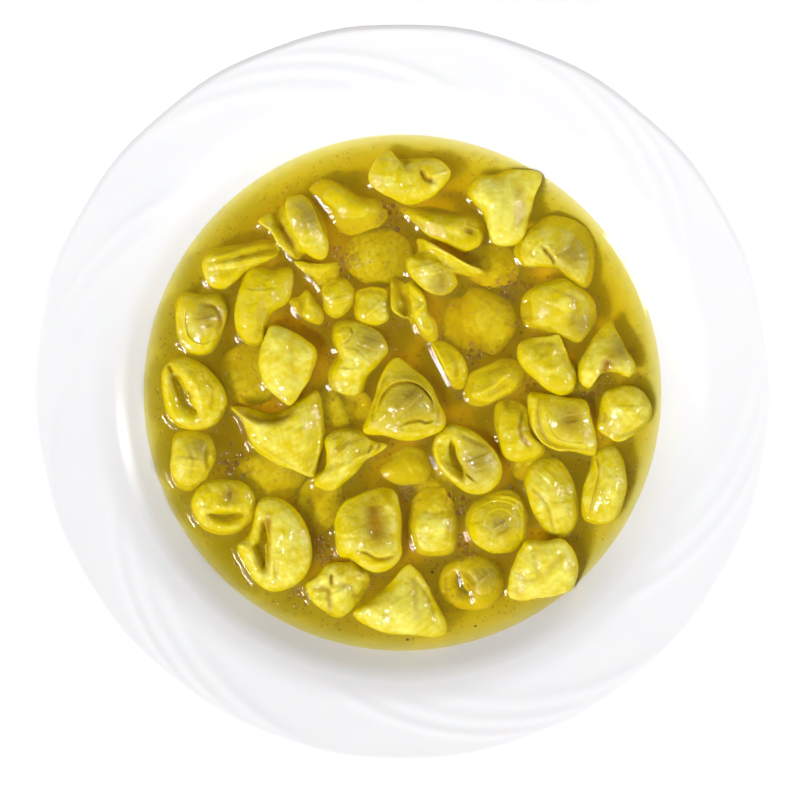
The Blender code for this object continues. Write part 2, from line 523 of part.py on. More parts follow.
def pocket_mesh(name, points):
    """Hull of a tortellino grown by the pocket gap, which the broth is cut round."""
    work = bmesh.new()
    for point in points:
        work.verts.new(Vector(point) * MM)
    bmesh.ops.convex_hull(work, input=work.verts)
    loose = [v for v in work.verts if not v.link_faces]
    bmesh.ops.delete(work, geom=loose, context="VERTS")
    flat = math.radians(POCKET_FLATTEN)
    bmesh.ops.dissolve_limit(work, angle_limit=flat, verts=work.verts, edges=work.edges)
    bmesh.ops.triangulate(work, faces=work.faces)
    work.normal_update()
    for vert in work.verts:
        vert.co += vert.normal * vert.calc_shell_factor() * POCKET_GAP * MM
    mesh = bpy.data.meshes.new(name)
    work.to_mesh(mesh)
    work.free()
    return mesh


def coloured(name, colour, roughness):
    """Plain Principled material."""
    material = bpy.data.materials.new(name)
    material.use_nodes = True
    shader = material.node_tree.nodes["Principled BSDF"]
    shader.inputs["Base Color"].default_value = (*colour, 1.0)
    shader.inputs["Roughness"].default_value = roughness
    return material


def add_object(name, mesh, collection, material, place=(0.0, 0.0, 0.0)):
    """Puts a mesh in the scene under its name, at its place."""
    item = bpy.data.objects.new(name, mesh)
    item.location = Vector(place) * MM
    collection.objects.link(item)
    if material is not None:
        item.data.materials.append(material)
    return item


def keep_largest(mesh):
    """Drops the small islands of broth that are cut off between tortellini."""
    work = bmesh.new()
    work.from_mesh(mesh)
    work.verts.ensure_lookup_table()
    island = {}
    sizes = []
    for start in work.verts:
        if start.index in island:
            continue
        island[start.index] = len(sizes)
        stack = [start]
        count = 0
        while stack:
            here = stack.pop()
            count += 1
            for edge in here.link_edges:
                other = edge.other_vert(here)
                if other.index not in island:
                    island[other.index] = len(sizes)
                    stack.append(other)
        sizes.append(count)
    best = sizes.index(max(sizes))
    extra = [v for v in work.verts if island[v.index] != best]
    bmesh.ops.delete(work, geom=extra, context="VERTS")
    bmesh.ops.triangulate(work, faces=work.faces)
    work.to_mesh(mesh)
    work.free()
    mesh.shade_smooth()
    mesh.set_sharp_from_angle(angle=math.radians(SHARP_ANGLE))


def cut_broth(broth, pockets, cutters):
    """Cuts the broth round every tortellino with one exact Boolean."""
    for number, (points, centre) in enumerate(pockets, 1):
        pocket = add_object(f"pocket_{number:02d}", pocket_mesh("pocket", points), cutters, None, centre)
        pocket.hide_render = True
        pocket.display_type = "WIRE"
    cut = broth.modifiers.new("pockets", "BOOLEAN")
    cut.operation = "DIFFERENCE"
    cut.operand_type = "COLLECTION"
    cut.collection = cutters
    cut.solver = "EXACT"
    cut.use_self = True
    graph = bpy.context.evaluated_depsgraph_get()
    solid = bpy.data.meshes.new_from_object(broth.evaluated_get(graph))
    broth.modifiers.clear()
    broth.data = solid
    keep_largest(solid)


def build():
    """Builds the plate, the tortellini and the broth round them."""
    for item in list(bpy.data.objects):
        bpy.data.objects.remove(item)
    collection = bpy.data.collections.new(COLLECTION_NAME)
    cutters = bpy.data.collections.new("cutters")
    bpy.context.scene.collection.children.link(collection)
    bpy.context.scene.collection.children.link(cutters)

    glass = coloured("opal_white", (0.86, 0.88, 0.9), 0.12)
    turned_object("plate", plate_profile(), collection, glass)
    liquid = coloured("clear_broth", (0.6, 0.42, 0.03), 0.1)
    broth = turned_object("broth", broth_profile(), collection, liquid)

    shapes = []
    centres = []
    for entry in PIECES:
        shape, centre = shape_of(entry, cutters)
        shapes.append(shape)
        centres.append(centre)
    settle(shapes, centres)

    pockets = []
    for number, (shape, centre) in enumerate(zip(shapes, centres), 1):
        name = f"tortellino_{number:02d}"
        mesh = finished_mesh(name, shape["points"], shape["faces"])
        add_object(name, mesh, collection, coloured(f"pasta_{number:02d}", (0.72, 0.6, 0.08), 0.3), centre)
        pockets.append((shape["points"], centre))
    cut_broth(broth, pockets, cutters)


build()
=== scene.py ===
# %% [markdown]
# # Tortellini in broth, served in a wide rimmed soup plate
#
# The plate is white opal glass, pressed in a mould. In its well stands a clear golden broth, and in
# the broth lie tortellini, each a small square of egg pasta folded round its filling and pinched
# into a ring. The CAD model is the frame: it says where the plate, the broth and each tortellino
# are. This lesson gives them their real surfaces. Lengths are worked out in millimetres, because
# that is how food is measured, and become metres when a mesh is made.

# %% Load the fixed frame
import math

import bpy
import numpy as np
from mathutils import Matrix, Vector


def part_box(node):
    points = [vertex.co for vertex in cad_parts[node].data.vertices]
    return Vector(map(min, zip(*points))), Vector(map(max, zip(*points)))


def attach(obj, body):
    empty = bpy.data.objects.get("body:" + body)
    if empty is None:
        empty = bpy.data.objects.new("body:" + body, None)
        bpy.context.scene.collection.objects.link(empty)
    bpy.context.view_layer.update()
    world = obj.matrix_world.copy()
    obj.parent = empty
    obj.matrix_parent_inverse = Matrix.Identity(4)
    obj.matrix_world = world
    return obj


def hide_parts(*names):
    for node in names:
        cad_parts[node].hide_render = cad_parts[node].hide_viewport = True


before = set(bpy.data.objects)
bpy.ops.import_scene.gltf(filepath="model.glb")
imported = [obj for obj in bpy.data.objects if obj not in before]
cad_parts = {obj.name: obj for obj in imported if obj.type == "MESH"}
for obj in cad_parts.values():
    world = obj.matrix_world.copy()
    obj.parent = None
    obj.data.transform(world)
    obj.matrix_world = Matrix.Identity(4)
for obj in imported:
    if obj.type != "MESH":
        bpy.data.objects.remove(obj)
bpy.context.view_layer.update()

MM = 0.001
print("CAD nodes:", len(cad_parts))


# %% Measure the plate and the broth
def box_mm(node):
    """Lowest and highest corner of a CAD node in millimetres."""
    low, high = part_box(node)
    return np.array(low) / MM, np.array(high) / MM


plate_high = box_mm("plate")[1]
RIM_RADIUS = float(plate_high[0])
RIM_HEIGHT = float(plate_high[2])
LEVEL = float(box_mm("broth")[1][2])
print(f"rim radius {RIM_RADIUS:.1f}, rim height {RIM_HEIGHT:.1f}, broth level {LEVEL:.1f}")


# %% [markdown]
# ## Helpers for shapes
#
# Every shape below is a grid of points: two numbers say where on the grid a point lies, and a
# formula turns them into a place. Numpy works the formula out for all points at once. The faces
# only say which neighbours on the grid belong together.

# %% Ease, grid faces and meshes
def smooth(x):
    """Eases from 0 to 1 as 3x^2 - 2x^3 and holds at both ends."""
    x = np.clip(x, 0.0, 1.0)
    return x * x * (3.0 - 2.0 * x)


def grid_faces(rows, columns, closed_rows=False):
    """Quads between neighbours on a grid whose columns close on themselves, and its rows if asked."""
    i = np.arange(rows if closed_rows else rows - 1)[:, None]
    j = np.arange(columns)[None, :]
    below, right = (i + 1) % rows, (j + 1) % columns
    corners = [i * columns + j, below * columns + j, below * columns + right, i * columns + right]
    return np.stack(np.broadcast_arrays(*corners), -1).reshape(-1, 4)


def make_mesh(name, points, *face_groups):
    """Mesh from points in millimetres and groups of faces with the same number of corners."""
    mesh = bpy.data.meshes.new(name)
    mesh.vertices.add(len(points))
    mesh.vertices.foreach_set("co", (points * MM).astype(np.float32).ravel())
    corners = np.concatenate([group.ravel() for group in face_groups]).astype(np.int32)
    sizes = np.concatenate([np.full(len(group), group.shape[1]) for group in face_groups])
    mesh.loops.add(len(corners))
    mesh.loops.foreach_set("vertex_index", corners)
    mesh.polygons.add(len(sizes))
    starts = np.concatenate([[0], np.cumsum(sizes)[:-1]])
    mesh.polygons.foreach_set("loop_start", starts.astype(np.int32))
    mesh.update(calc_edges=True)
    mesh.shade_smooth()
    return mesh


def mesh_points(mesh):
    """Points of a mesh in millimetres and their normals, as arrays."""
    points = np.empty(len(mesh.vertices) * 3, np.float32)
    normals = np.empty_like(points)
    mesh.vertices.foreach_get("co", points)
    mesh.vertex_normals.foreach_get("vector", normals)
    return points.reshape(-1, 3).astype(float) / MM, normals.reshape(-1, 3).astype(float)


def add_value(mesh, name, values):
    """Stores one number per point under a name that a material can read."""
    attribute = mesh.attributes.new(name, "FLOAT", "POINT")
    attribute.data.foreach_set("value", values.astype(np.float32))


def place_piece(name, mesh, material, slot, *nodes):
    """Puts a finished mesh in the scene, riding on the frame and standing for its CAD nodes. The slot is
    not used."""
    piece = bpy.data.objects.new(name, mesh)
    piece.data.materials.append(material)
    bpy.context.scene.collection.objects.link(piece)
    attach(piece, "root")
    if nodes:
        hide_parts(*nodes)
    return piece


print("helpers ready")


# %% [markdown]
# ## Helpers for materials
#
# A material is a small network of nodes. One function adds a node with its settings and links, so
# each network below reads as a list. Colours are written as the hex values that a paint program
# shows, and one function turns them into the linear numbers that the renderer reckons with.

# %% Colours and nodes
def linear(code, alpha=1.0):
    """sRGB hex to linear: v/12.92 for dark values, ((v + 0.055) / 1.055)^2.4 for the rest."""
    values = [int(code[i:i + 2], 16) / 255.0 for i in (1, 3, 5)]
    return tuple(v / 12.92 if v <= 0.04045 else ((v + 0.055) / 1.055) ** 2.4 for v in values) + (alpha,)


def add_node(material, kind, settings=None, **inputs):
    """Adds a node. Settings are its own properties. An input is a value, or a (node, output) link."""
    tree = material.node_tree
    node = tree.nodes.new(kind)
    for key, value in (settings or {}).items():
        setattr(node, key, value)
    for key, value in inputs.items():
        name = key.replace("_", " ")
        socket = node.inputs[int(name[1:])] if name[0] == "i" and name[1:].isdigit() else node.inputs[name]
        if isinstance(value, tuple) and isinstance(value[0], bpy.types.Node):
            tree.links.new(value[0].outputs[value[1]], socket)
        else:
            socket.default_value = value
    return node


def new_material(name):
    """An empty material with its output node."""
    material = bpy.data.materials.new(name)
    material.use_nodes = True
    material.node_tree.nodes.clear()
    return material, add_node(material, "ShaderNodeOutputMaterial")


def per_mm(size):
    """Scale of a noise or cell pattern whose features are a size in millimetres."""
    return 1.0 / (size * MM)


print("half grey in linear light:", round(linear("#808080")[0], 3))


# %% [markdown]
# ## The plate
#
# A soup plate of this kind is pressed from opal glass: a turned form with a foot ring, a deep well
# and a wide rim. It could be a Screw modifier on a drawn section, as in the CAD model. Here the
# section is turned with numpy instead, because the rim carries a soft swirl of flutes that bends
# round the plate, and a formula of angle and radius can press it into the upper face.

# %% Section of the plate
MOUTH_RADIUS = 88.6
MOUTH_HEIGHT = 32.0
FLOOR_RADIUS = 54.0
FLOOR_HEIGHT = 5.8
WALL_CURVE = 1.6
WALL_THICK = 3.8
BROW_CUT = 7.6
LIP_INNER = RIM_RADIUS - 5.0
LIP_CREST = RIM_RADIUS - 1.7
LIP_THICK = 3.4
SHOULDER = (MOUTH_RADIUS + 4.4, 34.0 - WALL_THICK)
FOOT_RADIUS = 61.0
FOOT_WIDTH = 4.0
FOOT_RECESS = 2.3


def wall_line(inset, count):
    """Wall of the well: height rises with the 1.6th power of the way from floor to mouth. The line
    is moved by inset along its own normal, into the bowl, or out of it where inset is negative."""
    x = np.linspace(0.0, 1.0, count)
    run, deep = MOUTH_RADIUS - FLOOR_RADIUS, MOUTH_HEIGHT - FLOOR_HEIGHT
    slope = deep * WALL_CURVE * x ** (WALL_CURVE - 1.0) / run
    size = np.hypot(1.0, slope)
    return np.stack([FLOOR_RADIUS + run * x - inset * slope / size,
                     FLOOR_HEIGHT + deep * x ** WALL_CURVE + inset / size], 1)


def rounded(corners, count):
    """Rounds each (radius, height, cut) corner: a parabola runs between the points that lie cut
    millimetres before and after it, and a cut of 0 keeps the corner."""
    corners = np.array(corners, float)
    here, cut = corners[1:-1, :2], corners[1:-1, 2:]
    into, out = corners[:-2, :2] - here, corners[2:, :2] - here
    first = here + into / np.linalg.norm(into, axis=1)[:, None] * cut
    last = here + out / np.linalg.norm(out, axis=1)[:, None] * cut
    t = np.linspace(0.0, 1.0, count)[:, None, None]
    curve = (1 - t) ** 2 * first + 2 * t * (1 - t) * here + t * t * last
    return curve.transpose(1, 0, 2).reshape(-1, 2)


# The inner line stops below the mouth, where the brow's bend begins, and the outer line, which runs
# downwards, stops above the floor, where the foot begins.
inner = wall_line(0.0, 40)[:34]
outer = wall_line(-WALL_THICK, 16)[:2:-1]
brow = rounded([(*inner[-1], 0.0), (MOUTH_RADIUS + 1.4, MOUTH_HEIGHT + 1.7, BROW_CUT),
                (LIP_INNER, RIM_HEIGHT - 0.62, 0.0)], 16)
lip = rounded([(LIP_INNER, RIM_HEIGHT - 0.55, 0.0), (LIP_CREST, RIM_HEIGHT, 1.0),
               (RIM_RADIUS, RIM_HEIGHT - 1.5, 1.2), (LIP_CREST, RIM_HEIGHT - LIP_THICK, 1.2),
               (*SHOULDER, 0.0)], 6)
rim_run = np.linspace(brow[-1], lip[0], 20)[1:-1]
under = np.linspace(lip[-1], SHOULDER, 7)[1:]
foot = rounded([(*outer[-1], 0.0), (FOOT_RADIUS + 1.0, FOOT_RECESS, 0.6), (FOOT_RADIUS, 0.0, 0.7),
                (FOOT_RADIUS - FOOT_WIDTH, 0.0, 0.7), (FOOT_RADIUS - FOOT_WIDTH - 1.0, FOOT_RECESS, 0.6),
                (0.0, FOOT_RECESS, 0.0)], 4)
section = np.concatenate([inner, brow, rim_run, lip, under, outer, foot])
print("points of the plate's section:", len(section))


# %% Turn the section and press the flutes
ROUND_STEPS = 640
FLUTE_HIGH = 0.3
FLUTE_GROUPS = 6
FLUTE_SWEEP = 0.62
RIDGES = ((0.28, 0.05), (0.44, 0.065), (0.62, 0.08))
SCALLOP = 0.45
EDGE_BAND = 6.0


def flutes(angle, radius):
    """Low relief on the rim: three ridges side by side in each of six groups, each a bell curve
    with its place and width in the group. A ridge keeps to a line whose angle advances with the
    way out across the rim, so that it sweeps like a petal."""
    out = np.clip((radius - MOUTH_RADIUS - 2.0) / (RIM_RADIUS - MOUTH_RADIUS - 4.0), 0.0, 1.0)
    swept = angle * FLUTE_GROUPS / (2.0 * math.pi) - FLUTE_SWEEP * out ** 1.4
    part = swept - np.floor(swept)
    ridges = sum(np.exp(-((part - centre) / width) ** 2) for centre, width in RIDGES)
    return FLUTE_HIGH * ridges * smooth(out * 4.0) * smooth((1.0 - out) * 5.0 + 0.15)


angle = np.linspace(0.0, 2.0 * math.pi, ROUND_STEPS, endpoint=False)[None, :]
radius, height = section[:, :1], section[:, 1:]
top_count = len(inner) + len(brow) + len(rim_run) + len(lip) // 3
on_top = (np.arange(len(section)) < top_count)[:, None] & (radius > MOUTH_RADIUS + 1.5)
lift = np.where(on_top, flutes(angle, radius) - FLUTE_HIGH * 0.4, 0.0)
edge = smooth((radius - RIM_RADIUS + EDGE_BAND) / EDGE_BAND)
wave = 0.5 - 0.5 * np.cos(FLUTE_GROUPS * len(RIDGES) * angle)
reach = radius - SCALLOP * edge * wave * (radius > RIM_RADIUS - EDGE_BAND)
tall = np.minimum(height + lift * (1.0 - edge * 0.7), RIM_HEIGHT)
rings = np.stack(np.broadcast_arrays(reach * np.cos(angle), reach * np.sin(angle), tall), -1)
poles = np.array([[0.0, 0.0, FLOOR_HEIGHT], [0.0, 0.0, FOOT_RECESS]])
plate_points = np.concatenate([rings.reshape(-1, 3), poles])
around = np.arange(ROUND_STEPS)
after = (around + 1) % ROUND_STEPS
last_ring = (len(section) - 1) * ROUND_STEPS
floor_pole, base_pole = (np.full(ROUND_STEPS, len(plate_points) - k) for k in (2, 1))
floor_fan = np.stack([floor_pole, around, after], 1)
base_fan = np.stack([base_pole, last_ring + after, last_ring + around], 1)
plate_mesh = make_mesh("plate_glass", plate_points, grid_faces(len(section), ROUND_STEPS),
                       floor_fan, base_fan)
print("plate faces:", len(plate_mesh.polygons))


# %% [markdown]
# ### Opal glass
#
# Opal glass is glass made white right through by tiny crystals. It is smooth and shiny, with an
# index of 1.5, and light that goes in comes out softly nearby, which the shader's subsurface
# weight gives. A washed plate has a very faint unevenness from pressing, drawn here as a long,
# shallow bump about 18 mm across.

# %% Material of the plate
opal, output = new_material("opal_glass")
place = add_node(opal, "ShaderNodeTexCoord")
press = add_node(opal, "ShaderNodeTexNoise", Vector=(place, "Object"), Scale=per_mm(18.0), Detail=2.0)
swell = add_node(opal, "ShaderNodeBump", Height=(press, "Fac"), Strength=0.12, Distance=0.4 * MM)
cloud = add_node(opal, "ShaderNodeTexNoise", Vector=(place, "Object"), Scale=per_mm(30.0), Detail=3.0)
white = add_node(opal, "ShaderNodeMix", {"data_type": "RGBA"}, Factor=(cloud, "Fac"),
                 i6=linear("#E9EBEE"), i7=linear("#EEEEEF"))
glass = add_node(opal, "ShaderNodeBsdfPrincipled", Base_Color=(white, 2), Roughness=0.3, IOR=1.5,
                 Subsurface_Weight=0.15, Subsurface_Scale=0.003, Normal=(swell, "Normal"))
opal.node_tree.links.new(glass.outputs["BSDF"], output.inputs["Surface"])
place_piece("plate_glass", plate_mesh, opal, "plate_glass", "plate")
print("plate placed")


# %% [markdown]
# ## The tortellini
#
# A tortellino starts as a square of pasta. It is folded over its filling and its two corners are
# pinched together, so it is a ring: thick where the filling is, thin at the pinch, with the free
# edge of the sheet standing up as a flap. Sculpting by hand would give forty-two separate jobs.
# Here one formula makes the ring on a grid, with angle round the ring and way across its section,
# and each piece is then drawn out to its own outline, seen from above. It is the formula that the
# CAD solids come from, at a finer grid.

# %% Four ways of folding
SPINE_STEPS = 24
SHEET_HALF = 1.0
EDGE_ROUND = 0.9
OUTER_BULGE = 1.15
INNER_BULGE = 0.72
SKIN_BLEND = 2.5
POUCH_FALL = 2.2
FLAP_FALL = 1.15
BEND_FROM, BEND_OVER = 1.1, 0.9
THICK_SHARE = 0.62


def fold_kind(ring, pouch, arm, flap, flare, fade=(0.0, 1.0), span=0.45):
    """Sizes of one way of folding: half depth and half width of the ring, half thickness and half
    height at the filling and at the pinched ends, height of the flap there, how far it bends out in
    degrees, how far the filling runs into the flap, and how much of the ring is full."""
    return {"ring": ring, "pouch": pouch, "arm": arm, "flap": flap, "flare": flare,
            "fade": fade, "span": span}


KINDS = {
    "open": fold_kind((3.9, 7.3), (6.0, 5.2), (2.7, 3.4), (4.0, 2.0), (30, 10), (0.0, 1.0), 0.4),
    "hat": fold_kind((3.4, 6.4), (4.8, 5.0), (2.4, 3.4), (8.0, 4.0), (75, 50), (0.2, 1.2)),
    "leaf": fold_kind((3.2, 7.0), (4.4, 5.6), (2.4, 3.4), (9.0, 2.0), (-10, 0), (1.6, 1.5), 0.6),
    "cap": fold_kind((3.4, 6.6), (5.0, 5.4), (2.6, 3.6), (5.0, 2.0), (0, 0), (1.1, 1.4), 0.55),
}
print("ways of folding:", ", ".join(KINDS))


# %% The folded ring as a function of two numbers
def folded_ring(kind, rings, sections):
    """Points of a tortellino round its own ring. Round the ring goes phi, 0 at the filling and 180
    degrees at the pinch. Across it a spine starts at the fold line and rises as dz = cos(bend),
    dr = sin(bend). The skin stands off the spine by a half ellipse below the filling's middle, by a
    fading cosine above it, and by half the thickness of the sheet for the flap. The full share of
    the ring falls away from the filling as e^(-(away / span)^2.2)."""
    phi = np.linspace(-math.pi, math.pi, rings, endpoint=False)[:, None]
    away = np.abs(phi) / math.pi
    full = np.exp(-(away / kind["span"]) ** POUCH_FALL)
    wide = kind["arm"][0] + (kind["pouch"][0] - kind["arm"][0]) * full
    tall = kind["arm"][1] + (kind["pouch"][1] - kind["arm"][1]) * full
    rise = kind["flap"][1] + (kind["flap"][0] - kind["flap"][1]) * (1.0 - away) ** FLAP_FALL
    lean_out = np.cos(phi / 2.0) ** 2
    bend_end = np.radians(kind["flare"][1] + (kind["flare"][0] - kind["flare"][1]) * lean_out)
    length = 2.0 * tall + rise
    step = np.linspace(0.0, 2.0, sections, endpoint=False)[None, :]
    outside = step < 1.0
    along = (0.5 - 0.5 * np.cos(math.pi * np.where(outside, step, 2.0 - step))) * length
    grid = np.linspace(0.0, 1.0, SPINE_STEPS + 1)[None, None, :] * along[..., None]
    body = tall[..., None]
    bend = bend_end[..., None] * smooth((grid - BEND_FROM * body) / (rise[..., None] + BEND_OVER * body))
    out = 0.5 * (np.sin(bend[..., 1:]) + np.sin(bend[..., :-1])).sum(-1) * along / SPINE_STEPS
    up = 0.5 * (np.cos(bend[..., 1:]) + np.cos(bend[..., :-1])).sum(-1) * along / SPINE_STEPS - tall
    below = np.sqrt(np.clip(1.0 - ((along - tall) / tall) ** 2, 0.0, 1.0))
    reach = tall * (1.0 + kind["fade"][0])
    above = np.cos(0.5 * math.pi * np.clip((along - tall) / reach, 0.0, 1.0)) ** kind["fade"][1]
    skin = wide * np.where(outside, OUTER_BULGE, INNER_BULGE) * np.where(along < tall, below, above)
    near_edge = np.clip((along - (length - EDGE_ROUND)) / EDGE_ROUND, 0.0, 1.0)
    ending = np.sqrt(np.clip(1.0 - near_edge ** 2, 0.0, 1.0))
    sheet = np.where(along > tall, SHEET_HALF, 0.0) * ending
    off = (skin ** SKIN_BLEND + sheet ** SKIN_BLEND) ** (1.0 / SKIN_BLEND) * ending
    off = np.where(outside, off, -off)
    radial = out + off * np.cos(bend[..., -1])
    deep, broad = kind["ring"]
    normal_x, normal_y = np.cos(phi) / deep, np.sin(phi) / broad
    size = np.hypot(normal_x, normal_y)
    points = [deep * np.cos(phi) + normal_x / size * radial,
              broad * np.sin(phi) + normal_y / size * radial, up - off * np.sin(bend[..., -1])]
    return np.stack(points, -1).reshape(-1, 3)


def fold_turn(heading, tilt, turn, lean):
    """Rotation of a tortellino: flap towards heading, tilted from upright, filling on the upper side."""
    angles = ((heading, "Z"), (lean, "X"), (tilt, "Y"), (180 + turn, "Z"))
    result = Matrix.Identity(3)
    for degrees, axis in angles:
        result = result @ Matrix.Rotation(math.radians(degrees), 3, axis)
    return np.array(result)


print("points of one ring:", len(folded_ring(KINDS["cap"], 90, 40)))


# %% [markdown]
# ### One table for all of them
#
# Each entry below is one tortellino: how it is folded, where it lies (millimetres right and up from
# the middle of the plate), the points of its outline seen from above, and how it is turned, in
# degrees: where its flap heads, how far it is tilted from upright, how far the ring is turned in
# its own plane, and how it leans. The heights come from the CAD model, where the pieces have been
# pushed apart until none touches another, so a piece is always moved onto its CAD node's box.

